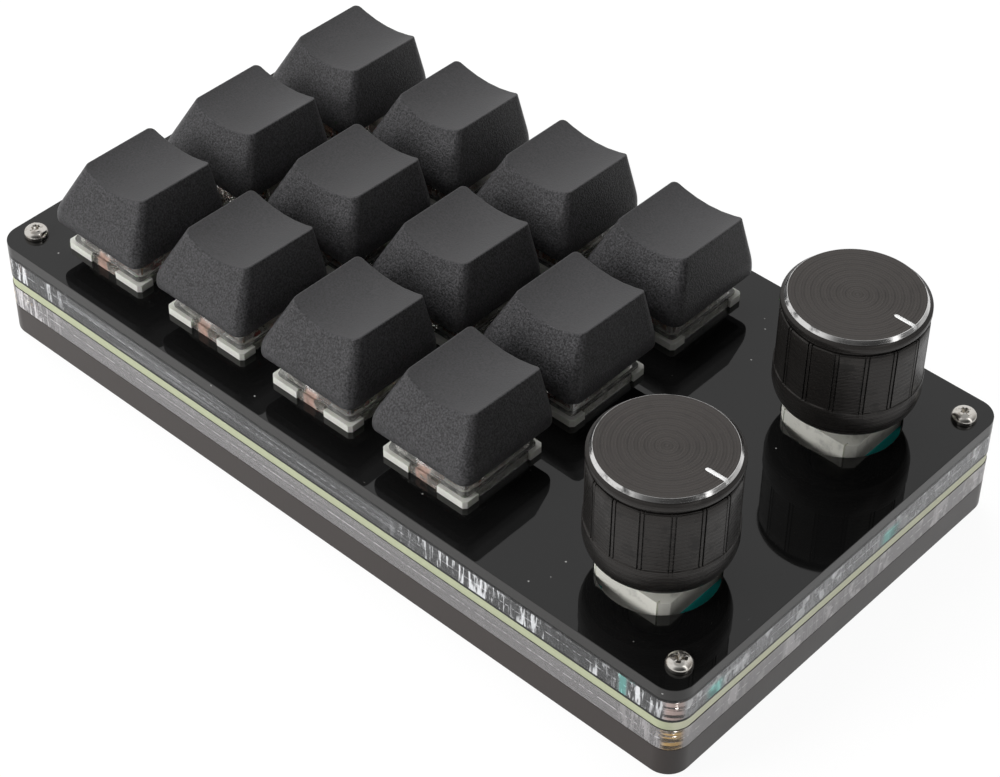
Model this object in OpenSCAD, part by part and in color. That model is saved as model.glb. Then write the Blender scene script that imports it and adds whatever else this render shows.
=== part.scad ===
// Macro keypad: twelve mechanical keys and two push dials on a layered acrylic case.
// Origin at the middle of the underside, X along the case, Y from front to back, Z up.

/* [Layout] */
// Gap between the lower edges of neighbouring keycaps, both ways
cap_gap = 3.3; // [0.9:0.1:8]
// Left end of the case to the first column of keys
key_margin_x = 16.9; // [15:0.1:26]
// Front side of the case to the front row of keys
key_margin_y = 13.8; // [13:0.05:20]
// Last column of keys to the middle of the dials
dial_gap = 33.1; // [30:0.05:44]
// Middle of the dials to the right end of the case
dial_margin = 16.15; // [15:0.05:26]
// Distance between the middles of the two dials
dial_spread = 39.2; // [26:0.1:42]

/* [Case layers] */
// Corner radius of every layer
case_r = 3.4; // [1:0.1:5]
// Thickness of the bottom plate
base_t = 4.9; // [4.3:0.1:8]
// Height of the clear frame under the board
lower_t = 3.8; // [3.4:0.1:8]
// Thickness of the circuit board
board_t = 1.6; // [1.2:0.1:2]
// Thickness of the top plate
plate_t = 2; // [1.5:0.1:2.4]
// Top of the plate down to the top of the circuit board
plate_seat = 6.1; // [5.9:0.05:6.5]
// Width of the wall of both clear frames
frame_w = 4.8; // [3:0.1:5.4]
// How far the circuit board's edge stands back from the frames
board_inset = 0.3; // [0.1:0.05:0.6]
// Case screws, inwards from the ends of the case
screw_inset_x = 3.5; // [3.4:0.1:5]
// Case screws, inwards from the long sides of the case
screw_inset_y = 4.6; // [3.4:0.1:5.4]
// Diameter of the rubber feet
foot_d = 9; // [5:0.5:12]
// Height of the rubber feet
foot_h = 1.3; // [0.8:0.1:3]

/* [Fasteners] */
// Diameter of the case screws
screw_d = 2; // [1.8:0.05:2.4]
// Length of the case screws under the head
screw_len = 14; // [13.4:0.1:15.2]
// Diameter of the screw heads
head_d = 3.7; // [3:0.1:4.8]
// Height of the screw heads
head_h = 1.4; // [1:0.05:2]
// Outer diameter of the brass inserts
insert_d = 3.6; // [3.2:0.1:4.2]
// Length of the brass inserts
insert_h = 3.2; // [2.6:0.1:3.8]

/* [Keycaps] */
// Width of a keycap at its lower edge
cap_w = 18.1; // [17.6:0.05:18.5]
// Lower edge of a keycap to the corners of its top
cap_h = 8.6; // [8.2:0.1:11]
// Height of the upright band at the foot of a keycap
cap_band = 1.7; // [0.5:0.1:2.5]
// Width of the top of a keycap
cap_top_w = 12.6; // [11.8:0.1:14]
// Middle of the key to the front edge of the top
cap_top_front = 4.4; // [4.2:0.1:6.4]
// Middle of the key to the back edge of the top
cap_top_back = 8.7; // [7:0.1:8.9]
// Wall of a keycap
cap_wall = 1.25; // [1:0.05:1.4]
// Roof of a keycap under the lowest line of the dish
cap_roof = 1.6; // [1.1:0.1:1.8]
// Depth of the dish across the top
dish_depth = 1.2; // [0.4:0.05:1.4]
// Tilt of the dish towards the back, in degrees
dish_tilt = 1.5; // [0:0.5:3]
// Corner radius at the foot of a keycap
cap_foot_r = 1.8; // [0.8:0.1:2.4]
// Corner radius at the top of a keycap
cap_top_r = 0.9; // [0.4:0.1:1.4]
// Diameter of the socket post inside a keycap
post_d = 5.5; // [5.2:0.05:5.6]

/* [Switches] */
// Square cut-out in the top plate
cut_w = 14; // [13.9:0.05:14.2]
// Width of the flange that rests on the plate
flange_w = 15.6; // [15.2:0.1:16]
// Thickness of that flange
flange_t = 1.2; // [0.8:0.05:1.3]
// Chamfer at the corners of the flange
flange_chamfer = 0.5; // [0.2:0.1:1.6]
// Plate to the top of the clear upper housing
housing_h = 6.6; // [6.2:0.1:7.2]
// Width of the clear upper housing at its top
housing_top_w = 10.4; // [9.8:0.1:10.8]
// Depth of the clear upper housing at its top
housing_top_d = 9.8; // [9.2:0.1:10.2]
// Key travel
key_travel = 4; // [2:0.1:4]
// Height of the cross that carries the keycap
cross_h = 3.8; // [3:0.1:4.2]
// Width of the cross
cross_w = 4; // [3.8:0.05:4.1]
// Thickness of the arms of the cross
cross_t = 1.2; // [1:0.05:1.4]
// Outer diameter of the key spring
spring_d = 4.3; // [4:0.1:4.8]
// Wire of the key spring
spring_wire = 0.3; // [0.2:0.05:0.4]

/* [Dials] */
// Diameter of the dials
knob_d = 20.4; // [17:0.1:22]
// Height of the dials
knob_h = 16.8; // [15:0.1:20]
// Plate to the lower edge of the dials
knob_lift = 5.2; // [4.2:0.1:6]
// Diameter of the flat on top of a dial
knob_top_d = 18.1; // [14:0.1:18.8]
// Number of grooves round a dial
groove_count = 16; // [8:1:24]
// Width of each groove
groove_w = 0.5; // [0.2:0.05:0.8]
// Depth of each groove
groove_depth = 0.45; // [0.2:0.05:0.7]
// Diameter of the encoder shaft
shaft_d = 6; // [5.6:0.1:6.2]
// Mounting face of the encoder to the top of its shaft
shaft_len = 17; // [15:0.1:18]
// Push travel of the dials
push_travel = 0.5; // [0.2:0.1:1]
// Round hole in the plate round each encoder
dial_hole_d = 16.8; // [16.2:0.1:18.4]
// Width of the encoder
encoder_w = 12.8; // [12.2:0.1:13.4]
// Depth of the encoder
encoder_d = 13; // [12.6:0.1:13.8]
// Board to the mounting face of the encoder
encoder_h = 8.2; // [7.6:0.1:8.4]

/* [Port] */
// Width of the charging and data port
port_w = 8.94; // [8.8:0.02:9.2]
// Height of the port
port_h = 3.16; // [3:0.02:3.2]
// Depth of the port
port_d = 7.35; // [6.5:0.05:8]

/* [Hidden] */
$fn = 48;
key_cols = 4;
row_names = ["front", "middle", "rear"];
key_rows = len(row_names);
key_parts = ["keycap", "stem", "spring"];
key_nodes = [for (part = key_parts, row = row_names, c = [1:key_cols]) str(part, "_", row, "_", c)];
case_nodes = [
  "top_plate", "upper_spacer", "circuit_board", "lower_spacer", "bottom_plate",
  "case_screws", "case_inserts", "rubber_feet"];
switch_nodes = [
  "switch_top_housings", "switch_bottom_housings", "switch_contacts", "switch_sockets", "key_lights"];
board_nodes = ["board_chips", "usb_port"];
dial_nodes = [
  "encoder_brackets", "encoder_housings", "encoder_terminals",
  "encoder_rotor_front", "encoder_rotor_rear", "encoder_shaft_front", "encoder_shaft_rear",
  "knob_front", "knob_rear"];

// Overrun of every cut past the face that it leaves
over = 0.5;
// Gap between faces that are put together by hand
fit_gap = 0.1;
// Gap between faces that slide or turn on each other
slide_gap = 0.05;

// Distance between neighbouring keys, both ways
key_pitch = cap_w + cap_gap;

// Case outline and the height of each layer's underside
case_len = key_margin_x + (key_cols - 1) * key_pitch + dial_gap + dial_margin;
case_wid = 2 * key_margin_y + (key_rows - 1) * key_pitch;
upper_t = plate_seat - plate_t;
base_z = foot_h;
lower_z = base_z + base_t;
board_z = lower_z + lower_t;
board_top = board_z + board_t;
plate_z = board_top + upper_t;
top_z = plate_z + plate_t;

// Places on the case
dial_x = case_len / 2 - dial_margin;
last_key_x = dial_x - dial_gap;
port_x = (last_key_x + dial_x) / 2;
screw_x = case_len / 2 - screw_inset_x;
screw_y = case_wid / 2 - screw_inset_y;
window_r = 1.4;
lobe_r = 3.8;
screw_clearance = 0.2;
foot_inset = 3.8;
foot_bevel = 0.3;

// Bottom plate, screws and inserts
pilot_gap = 0.6;
recess_w = 2.1;
recess_t = 0.47;
recess_depth = 0.85;
knurl_waist = 0.35;
knurl_h = 0.5;

// Keycap
cap_steps = 4;
post_recess = 1.1;
stem_sink = 0.2;
shoulder_z = housing_h - stem_sink;
cap_z = shoulder_z + fit_gap - post_recess;
cap_peak = cap_h + over;
dish_r = (pow(cap_top_w / 2, 2) + pow(dish_depth, 2)) / (2 * dish_depth);
roof_z = cap_h - dish_depth - cap_roof;

// Switch body under and over the plate
body_w = cut_w - fit_gap;
body_wall = 1.15;
floor_t = 1.3;
cavity_w = body_w - 2 * body_wall;
floor_z = floor_t - plate_seat;
front_tab = 4.55;
side_tab = 2.05;
window_sill = 0.1;
skirt_t = 0.4;
flange_rest = 0.6;
upper_w = flange_w - 2 * flange_rest;
upper_band = 0.4;
upper_wall = 0.9;
ceiling_t = 1.2;
ceiling_z = housing_h - ceiling_t;
housing_steps = 2;
housing_r = 0.6;
guide_d = 3.9;
guide_len = 3.2;
tower_h = 1.4;
tower_wall = 0.5;
pole_d = 1.9;
pole_bore_d = pole_d + 3 * fit_gap;
guide_floor = 0.4;

// Stem
stem_w = 6.9;
stem_d = post_d - slide_gap;
opening_gap = 0.2;
collar_w = 9;
collar_d = 6.6;
collar_t = 1.2;
collar_z = ceiling_z - fit_gap - collar_t;
pole_z = key_travel - plate_seat - guide_len + guide_floor + fit_gap;
leg_w = 1.2;
leg_t = 0.6;
leg_len = 2.8;
leg_x = 2.3;

// Spring
spring_turns = 6;
spring_steps = 8;

// Copper contacts, pins and the sockets that hold them
pin_fixed = [-2.54, -5.08];
pin_leaf = [3.81, -2.54];
pin_t = 0.2;
pin_w = 0.9;
pin_len = 3.3;
contact_w = 4.8;
contact_h = 2.4;
leaf_w = 2.2;
leaf_y = -4.4;
leaf_h = 1.5;
leaf_z = -2.1;
socket_h = 1.8;
socket_collar_d = 2.9;
socket_bore_d = 1.5;
socket_w = 4.6;
socket_depth = 4.2;

// Lamp under each key and diode beside it
lamp_y = 5.08;
lamp_w = 3.2;
lamp_d = 2.8;
lamp_lip = 1;
lamp_lip_t = 0.4;
diode_w = 1.6;
diode_d = 2.8;
diode_h = 1.1;
diode_x = -6.4;
diode_y = 3.6;

// Controller under the board
chip_w = 7;
chip_h = 1.4;
chip_leg_w = 0.3;
chip_leg_len = 1;
chip_leg_t = 0.2;
chip_leg_pitch = 0.8;
chip_legs = 8;

// Port on the back side
port_r = 1.4;
port_wall = 0.3;
port_setback = 0.3;
port_gap = 0.25;
tongue_w = 6.7;
tongue_t = 0.7;
tongue_len = 4.6;

// Encoder, measured from the top of the plate
face_z = encoder_h - plate_seat;
bracket_t = 0.5;
skirt_h = 5.2;
rim_h = 3.6;
slit_w = 0.2;
skirt_cut = 1.2;
slit_len = 0.7;
lug_w = 2;
lug_len = 2.8;
lug_y = encoder_d / 2 - bracket_t / 2;
corner_reach = dial_hole_d / 2 - fit_gap;
skirt_w = min(encoder_w, 2 * sqrt(pow(corner_reach, 2) - pow(encoder_d / 2, 2)));
bushing_d = 7;
bushing_h = 7;
shaft_gap = slide_gap;
tail_d = 4;
tail_flat = 0.6;
flat_depth = 1.5;
rotor_d = 9.6;
rotor_h = 2;
rotor_teeth = 20;
tooth_depth = 0.35;
rotor_gap = 0.4;
rotor_z = face_z - bracket_t - rotor_gap - rotor_h - rotor_gap;
shaft_step_z = rotor_z + rotor_h + push_travel + fit_gap;
tail_rest = 1.1;
tail_z = tail_rest - plate_seat;
terminal_w = 0.8;
terminal_t = 0.3;
terminal_reach = 1.3;
terminal_pitch = 2.5;
terminal_z = 0.8;

// Dial, measured from the top of the plate
knob_top_z = knob_lift + knob_h;
ring_w = 0.73;
ring_h = 0.55;
collar_in = 0.1;
knob_collar_h = 1.65;
neck_h = 0.66;
neck_depth = 0.67;
panel_h = 10.05;
foot_taper = 0.73;
foot_taper_h = 1.9;
knob_wall = 1.5;
knob_hollow_h = 2.9;
knob_bore_gap = 0.3;
bushing_room = 0.6;

function key_x(c) = key_margin_x - case_len / 2 + c * key_pitch;
function key_y(r) = key_margin_y - case_wid / 2 + r * key_pitch;

module at_key(c, r) {
  translate([key_x(c), key_y(r), top_z]) children();
}

module each_key() {
  for (c = [0:key_cols - 1], r = [0:key_rows - 1]) at_key(c, r) children();
}

module at_dial(side) {
  translate([dial_x, side * dial_spread / 2, top_z]) children();
}

module each_dial() {
  for (side = [-1, 1]) at_dial(side) children();
}

module at_screws() {
  for (x = [-1, 1], y = [-1, 1]) translate([x * screw_x, y * screw_y, 0]) children();
}

// Box centred on x and y, from one height to another
module block(w, d, low, high, x = 0, y = 0) {
  translate([x - w / 2, y - d / 2, low]) cube([w, d, high - low]);
}

// Upright round bar from one height to another
module bar(d, low, high, x = 0, y = 0) {
  translate([x, y, low]) cylinder(h = high - low, d = d);
}

// Rectangle with round corners
module round_outline(l, w, r) {
  square([l - 2 * r, w], center = true);
  square([l, w - 2 * r], center = true);
  for (x = [-1, 1], y = [-1, 1]) translate([x * (l / 2 - r), y * (w / 2 - r)]) circle(r);
}

// Points of a rounded rectangle at height z, measured from the middle outwards
function ring(half, front, back, r, z, steps) = [
  for (q = [0:3], i = [0:steps])
    let (
      a = 90 * (q - 1) + 90 * i / steps,
      x = q < 2 ? half - r : r - half,
      y = q == 1 || q == 2 ? back - r : r - front)
    [x + r * cos(a), y + r * sin(a), z]];

// Closed skin over a stack of rings with the same number of points
module loft(rings) {
  n = len(rings[0]);
  last = len(rings) - 1;
  walls = [
    for (k = [0:last - 1], i = [0:n - 1])
      let (a = k * n + i, b = k * n + (i + 1) % n)
      each [[a, a + n, b + n], [a, b + n, b]]];
  floor_face = [for (i = [0:n - 1]) i];
  roof_face = [for (i = [0:n - 1]) last * n + n - 1 - i];
  polyhedron(points = [for (g = rings, p = g) p], faces = concat(walls, [floor_face, roof_face]));
}

// Case

module layer(t, inset = 0) {
  linear_extrude(t) round_outline(case_len - 2 * inset, case_wid - 2 * inset, case_r - inset);
}

module top_plate() {
  color([0.03, 0.03, 0.03]) difference() {
    translate([0, 0, plate_z]) layer(plate_t);
    each_key() block(cut_w, cut_w, -plate_t - over, over);
    each_dial() bar(dial_hole_d, -plate_t - over, over);
    at_screws() bar(screw_d + screw_clearance, plate_z - over, top_z + over);
  }
}

// Frame with a lobe round each screw
module frame_outline() {
  difference() {
    round_outline(case_len, case_wid, case_r);
    difference() {
      round_outline(case_len - 2 * frame_w, case_wid - 2 * frame_w, window_r);
      for (x = [-1, 1], y = [-1, 1]) translate([x * screw_x, y * screw_y]) circle(lobe_r);
    }
    for (x = [-1, 1], y = [-1, 1]) {
      translate([x * screw_x, y * screw_y]) circle(d = screw_d + screw_clearance);
    }
  }
}

module upper_spacer() {
  color([0.85, 0.88, 0.88, 0.5]) difference() {
    translate([0, 0, board_top]) linear_extrude(upper_t) frame_outline();
    block(port_w + 2 * port_gap, 2 * (frame_w + over), board_top - over, plate_z + over, port_x, case_wid / 2);
  }
}

module lower_spacer() {
  color([0.85, 0.88, 0.88, 0.5]) translate([0, 0, lower_z]) linear_extrude(lower_t) frame_outline();
}

module circuit_board() {
  color([0.62, 0.66, 0.5]) difference() {
    translate([0, 0, board_z]) layer(board_t, board_inset);
    at_screws() bar(screw_d + screw_clearance, board_z - over, board_top + over);
    each_key() translate([0, 0, -plate_seat]) {
      bar(guide_d + fit_gap, -board_t - over, over);
      for (p = [pin_fixed, pin_leaf]) bar(socket_collar_d + fit_gap, -board_t - over, over, p[0], p[1]);
      block(lamp_w + 4 * fit_gap, lamp_d + 4 * fit_gap, -board_t - over, over, 0, lamp_y);
    }
    each_dial() translate([0, 0, -plate_seat]) {
      for (y = [-1, 1]) {
        block(lug_w + 4 * fit_gap, bracket_t + 4 * fit_gap, -board_t - over, over, 0, y * lug_y);
      }
      terminal_places() bar(terminal_w + 4 * fit_gap, -board_t - over, over);
    }
  }
}

module bottom_plate() {
  color([0.3, 0.28, 0.27]) difference() {
    translate([0, 0, base_z]) layer(base_t);
    at_screws() bar(insert_d, lower_z - insert_h, lower_z + over);
    at_screws() bar(screw_d + screw_clearance, top_z - screw_len - pilot_gap, lower_z + over);
  }
}

module screw_head() {
  crown = head_h / 2;
  dome_r = (pow(head_d / 2, 2) + pow(crown, 2)) / (2 * crown);
  difference() {
    intersection() {
      cylinder(h = head_h, d = head_d);
      translate([0, 0, head_h - dome_r]) sphere(dome_r);
    }
    for (a = [0, 90]) rotate(a) block(recess_w, recess_t, head_h - recess_depth, head_h + over);
  }
}

module case_screws() {
  color([0.75, 0.74, 0.72]) at_screws() translate([0, 0, top_z]) {
    screw_head();
    translate([0, 0, -screw_len]) cylinder(h = screw_len, d = screw_d);
  }
}

module case_inserts() {
  color([0.8, 0.62, 0.3]) at_screws() translate([0, 0, lower_z - insert_h]) difference() {
    cylinder(h = insert_h, d = insert_d);
    translate([0, 0, -over]) cylinder(h = insert_h + 2 * over, d = screw_d + fit_gap);
    translate([0, 0, (insert_h - knurl_h) / 2]) difference() {
      cylinder(h = knurl_h, d = insert_d + over);
      cylinder(h = knurl_h, d = insert_d - knurl_waist);
    }
  }
}

module rubber_feet() {
  foot_x = case_len / 2 - foot_inset - foot_d / 2;
  foot_y = case_wid / 2 - foot_inset - foot_d / 2;
  color([0.06, 0.06, 0.06]) for (x = [-1, 1], y = [-1, 1]) translate([x * foot_x, y * foot_y, 0]) {
    cylinder(h = foot_bevel, d1 = foot_d - 2 * foot_bevel, d2 = foot_d);
    translate([0, 0, foot_bevel]) cylinder(h = foot_h - foot_bevel, d = foot_d);
  }
}

// Keys

// Half size of the keycap at a height, on the straight slope between foot and top
function cap_side(top, z) = cap_w / 2 + (top - cap_w / 2) * (z - cap_band) / (cap_h - cap_band);

module cap_shell() {
  foot = cap_w / 2;
  loft([
    ring(foot, foot, foot, cap_foot_r, 0, cap_steps),
    ring(foot, foot, foot, cap_foot_r, cap_band, cap_steps),
    ring(cap_side(cap_top_w / 2, cap_peak), cap_side(cap_top_front, cap_peak),
      cap_side(cap_top_back, cap_peak), cap_top_r, cap_peak, cap_steps)]);
}

module cap_hollow() {
  foot = cap_w / 2 - cap_wall;
  r = cap_top_r;
  loft([
    ring(foot, foot, foot, r, -over, cap_steps),
    ring(foot, foot, foot, r, 0, cap_steps),
    ring(cap_side(cap_top_w / 2, roof_z) - cap_wall, cap_side(cap_top_front, roof_z) - cap_wall,
      cap_side(cap_top_back, roof_z) - cap_wall, r, roof_z, cap_steps)]);
}

module keycap() {
  color([0.11, 0.11, 0.12]) translate([0, 0, cap_z]) difference() {
    union() {
      difference() {
        cap_shell();
        cap_hollow();
      }
      bar(post_d, post_recess, roof_z + cap_roof / 2);
    }
    translate([0, 0, cap_h - dish_depth]) rotate([90 - dish_tilt, 0, 0]) translate([0, dish_r, 0]) {
      cylinder(h = 2 * cap_w, r = dish_r, center = true, $fn = 96);
    }
    for (a = [0, 90]) rotate(a) {
      block(cross_w + fit_gap, cross_t + fit_gap, -over, post_recess + cross_h);
    }
  }
}

module stem() {
  color([0.55, 0.09, 0.08]) {
    for (a = [0, 90]) rotate(a) block(cross_w, cross_t, shoulder_z, shoulder_z + cross_h);
    block(stem_w, stem_d, collar_z + collar_t, shoulder_z);
    block(collar_w, collar_d, collar_z, collar_z + collar_t);
    bar(pole_d, pole_z, collar_z);
    for (x = [-1, 1]) {
      block(leg_w, leg_t, collar_z - leg_len, collar_z + collar_t, x * leg_x, -collar_d / 2 - leg_t / 2);
    }
  }
}

// Coil of square wire from one height to another
module coil(d, wire, low, high, turns, steps) {
  n = turns * steps;
  r = (d - wire) / 2;
  rise = high - low - wire;
  points = [
    for (i = [0:n], k = [0:3])
      let (a = 360 * i / steps, b = 90 * k + 45, w = wire / sqrt(2))
      [(r + w * cos(b)) * cos(a), (r + w * cos(b)) * sin(a), low + wire / 2 + rise * i / n + w * sin(b)]];
  walls = [
    for (i = [0:n - 1], k = [0:3])
      let (a = 4 * i + k, b = 4 * i + (k + 1) % 4)
      each [[a, b + 4, a + 4], [a, b, b + 4]]];
  ends = [[3, 2, 1, 0], [4 * n, 4 * n + 1, 4 * n + 2, 4 * n + 3]];
  polyhedron(points = points, faces = concat(walls, ends));
}

module spring() {
  color([0.78, 0.78, 0.78]) {
    coil(spring_d, spring_wire, floor_z + slide_gap, collar_z - slide_gap, spring_turns, spring_steps);
  }
}

// Clear upper housing with a skirt in each gap of the flange
module upper_housing() {
  half = upper_w / 2;
  band_z = flange_t + upper_band;
  taper = (ceiling_z - band_z) / (housing_h - band_z);
  roof_w = half + (housing_top_w / 2 - half) * taper - upper_wall;
  roof_d = half + (housing_top_d / 2 - half) * taper - upper_wall;
  difference() {
    union() {
      loft([
        ring(half, half, half, housing_r, flange_t + slide_gap, housing_steps),
        ring(half, half, half, housing_r, band_z, housing_steps),
        ring(housing_top_w / 2, housing_top_d / 2, housing_top_d / 2, housing_r, housing_h, housing_steps)]);
      for (s = [-1, 1]) {
        block(upper_w - 2 * front_tab - fit_gap, skirt_t + body_wall / 2, slide_gap, band_z, 0,
          s * (half + skirt_t / 2 - body_wall / 4));
        block(skirt_t, upper_w - 2 * side_tab - 2 * fit_gap, slide_gap, band_z, s * (half + skirt_t / 4), 0);
      }
    }
    loft([
      ring(half - upper_wall, half - upper_wall, half - upper_wall, housing_r, flange_t, housing_steps),
      ring(roof_w, roof_d, roof_d, housing_r, ceiling_z, housing_steps)]);
    block(stem_w + 2 * opening_gap, post_d + 2 * opening_gap, flange_t, housing_h + over);
    block(cavity_w - 2 * body_wall, cavity_w - 2 * body_wall, 0, flange_t + over);
  }
}

module switch_top_housings() {
  color([0.9, 0.92, 0.92, 0.4]) each_key() upper_housing();
}

module flange_outline() {
  half = flange_w / 2;
  cut = half - flange_chamfer;
  polygon([
    [-cut, -half], [cut, -half], [half, -cut], [half, cut],
    [cut, half], [-cut, half], [-half, cut], [-half, -cut]]);
}

// Milky lower housing that clips into the plate
module lower_housing() {
  half = upper_w / 2;
  difference() {
    union() {
      block(body_w, body_w, -plate_seat, flange_t);
      linear_extrude(flange_t) flange_outline();
      bar(guide_d, -plate_seat - guide_len, -plate_seat + floor_t / 2);
    }
    for (s = [-1, 1]) {
      block(upper_w - 2 * front_tab, flange_w, -window_sill, flange_t + over,
        0, s * (cavity_w + flange_w) / 2);
      block(flange_w, upper_w - 2 * side_tab, -window_sill, flange_t + over,
        s * (body_w + flange_w + fit_gap) / 2, 0);
    }
    difference() {
      block(cavity_w, cavity_w, floor_z, flange_t + over);
      bar(pole_bore_d + 2 * tower_wall, floor_z - over, floor_z + tower_h);
    }
    bar(pole_bore_d, guide_floor - plate_seat - guide_len, floor_z + tower_h + over);
    for (p = [pin_fixed, pin_leaf]) {
      block(pin_w + 2 * fit_gap, pin_t + 2 * fit_gap, -plate_seat - over, floor_z + over, p[0], p[1]);
    }
    block(lamp_w, lamp_d, -plate_seat - over, floor_z + over, 0, lamp_y - over);
  }
}

module switch_bottom_housings() {
  color([0.86, 0.87, 0.82]) each_key() lower_housing();
}

// Standing copper plate at the front, and the leaf that the stem works
module contact_pair() {
  low = -plate_seat - pin_len;
  plate_x = pin_fixed[0] + (contact_w - pin_w) / 2;
  block(pin_w, pin_t, low, floor_z + fit_gap, pin_fixed[0], pin_fixed[1]);
  block(contact_w, pin_t, floor_z + fit_gap, contact_h, plate_x, pin_fixed[1]);
  block(pin_w, pin_t, low, leaf_z, pin_leaf[0], pin_leaf[1]);
  block(pin_w, pin_leaf[1] - leaf_y + pin_t, leaf_z, leaf_z + pin_t,
    pin_leaf[0], (pin_leaf[1] + leaf_y) / 2);
  block(leaf_w, pin_t, leaf_z, leaf_h, pin_leaf[0] + (pin_w - leaf_w) / 2, leaf_y);
}

module switch_contacts() {
  color([0.8, 0.5, 0.32]) each_key() contact_pair();
}

module key_socket() {
  difference() {
    union() {
      for (p = [pin_fixed, pin_leaf]) {
        bar(socket_collar_d, -socket_h, board_t - fit_gap, p[0], p[1]);
        block(socket_w, socket_depth, -socket_h, 0, p[0] + sign(p[0]) * socket_w / 4, p[1]);
      }
      block(pin_leaf[0] - pin_fixed[0], socket_depth / 2, -socket_h, 0,
        (pin_leaf[0] + pin_fixed[0]) / 2, (pin_leaf[1] + pin_fixed[1]) / 2);
    }
    for (p = [pin_fixed, pin_leaf]) bar(socket_bore_d, -socket_h - over, board_t + over, p[0], p[1]);
    bar(guide_d + 4 * fit_gap, -socket_h - over, over);
  }
}

module switch_sockets() {
  color([0.09, 0.09, 0.09]) each_key() translate([0, 0, -plate_seat - board_t]) key_socket();
}

module key_lights() {
  color([0.95, 0.94, 0.88]) each_key() translate([0, lamp_y, -plate_seat - board_t]) {
    block(lamp_w, lamp_d, 0, board_t - fit_gap);
    block(lamp_w + 2 * lamp_lip, lamp_d - 2 * fit_gap, -lamp_lip_t, 0);
  }
}

module controller() {
  block(chip_w, chip_w, -chip_h, -chip_leg_t / 2);
  for (a = [0, 90, 180, 270], k = [0:chip_legs - 1]) rotate(a) {
    block(chip_leg_len + chip_leg_t, chip_leg_w, -chip_leg_t, 0,
      chip_w / 2 + chip_leg_len / 2, (k - (chip_legs - 1) / 2) * chip_leg_pitch);
  }
}

module board_chips() {
  color([0.1, 0.1, 0.1]) {
    translate([port_x, 0, board_z]) controller();
    each_key() translate([diode_x, diode_y, -plate_seat - board_t]) block(diode_w, diode_d, -diode_h, 0);
  }
}

module usb_port() {
  back = case_wid / 2 - port_setback;
  color([0.72, 0.73, 0.74]) translate([port_x, back, board_top + port_h / 2]) rotate([90, 0, 0]) {
    difference() {
      linear_extrude(port_d) round_outline(port_w, port_h, port_r);
      translate([0, 0, -over]) linear_extrude(port_d - port_wall + over) {
        round_outline(port_w - 2 * port_wall, port_h - 2 * port_wall, port_r - port_wall);
      }
    }
    translate([-tongue_w / 2, -tongue_t / 2, port_d - port_wall - tongue_len]) {
      cube([tongue_w, tongue_t, tongue_len]);
    }
  }
}

// Dials

// Block of the encoder, its corners cut back to stay clear of the round hole
module encoder_block(inset, low, high) {
  intersection() {
    block(encoder_w - 2 * inset, encoder_d - 2 * inset, low, high);
    bar(2 * (corner_reach - inset), low, high);
  }
}

// Folded metal: a rim all round, and on two sides a longer skirt with a lug that goes into the board
module encoder_bracket() {
  difference() {
    union() {
      difference() {
        encoder_block(0, face_z - rim_h, face_z);
        encoder_block(bracket_t, face_z - rim_h - over, face_z - bracket_t);
      }
      for (s = [-1, 1]) {
        block(skirt_w - skirt_cut, bracket_t, face_z - skirt_h, face_z - bracket_t,
          -s * skirt_cut / 2, s * lug_y);
        block(lug_w, bracket_t, -plate_seat - lug_len, face_z - skirt_h + over, 0, s * lug_y);
      }
      bar(bushing_d, face_z - bracket_t, face_z + bushing_h);
    }
    for (s = [-1, 1], t = [-1, 1]) {
      block(slit_w, 2 * slit_len, face_z - skirt_h - over, face_z + over,
        t * skirt_w / 2, s * encoder_d / 2);
    }
    bar(shaft_d + 2 * shaft_gap, face_z - bracket_t - over, face_z + bushing_h + over);
  }
}

module encoder_brackets() {
  color([0.78, 0.77, 0.73]) each_dial() encoder_bracket();
}

module encoder_housing() {
  roof = face_z - bracket_t;
  ledge = face_z - rim_h - fit_gap;
  difference() {
    union() {
      encoder_block(bracket_t, -plate_seat, roof);
      intersection() {
        encoder_block(0, -plate_seat, ledge);
        block(encoder_w, encoder_d - 2 * bracket_t, -plate_seat, ledge);
      }
    }
    bar(rotor_d + 2 * rotor_gap, rotor_z - rotor_gap, roof + over);
    bar(tail_d + 2 * fit_gap, tail_z - push_travel - fit_gap, roof + over);
    bar(shaft_d + 2 * rotor_gap, rotor_z + rotor_h, roof + over);
    terminal_places() block(3 * terminal_w, terminal_w + 2 * fit_gap, terminal_z - plate_seat - fit_gap,
      terminal_z + terminal_t + fit_gap - plate_seat);
  }
}

module encoder_housings() {
  color([0.05, 0.6, 0.52]) each_dial() encoder_housing();
}

// Three signal pins on the left and two push switch pins on the right
module terminal_places() {
  reach = encoder_w / 2 + terminal_reach - terminal_w / 2;
  for (k = [-1:1]) translate([-reach, k * terminal_pitch, 0]) children();
  for (k = [-1, 1]) translate([reach, k * terminal_pitch, 0]) children();
}

module encoder_terminals() {
  color([0.8, 0.8, 0.76]) each_dial() translate([0, 0, -plate_seat]) {
    terminal_places() block(terminal_w, terminal_t, -lug_len, terminal_z + terminal_t);
    for (k = [-1:1]) terminal_arm(-1, k);
    for (k = [-1, 1]) terminal_arm(1, k);
  }
}

module terminal_arm(side, k) {
  arm = 2 * terminal_w;
  block(arm, terminal_w, terminal_z, terminal_z + terminal_t,
    side * (encoder_w / 2 + terminal_reach - arm / 2), k * terminal_pitch);
}

module encoder_rotor() {
  translate([0, 0, rotor_z]) difference() {
    cylinder(h = rotor_h, d = rotor_d);
    for (k = [0:rotor_teeth - 1]) rotate(360 * k / rotor_teeth) {
      bar(2 * tooth_depth, -over, rotor_h + over, rotor_d / 2);
    }
    tail(slide_gap, -over, rotor_h + over);
  }
}

// Round tail of the shaft with a flat on each side, which turns the rotor
module tail(gap, low, high) {
  intersection() {
    bar(tail_d + 2 * gap, low, high);
    block(tail_d - 2 * tail_flat + 2 * gap, 2 * tail_d, low, high);
  }
}

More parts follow.
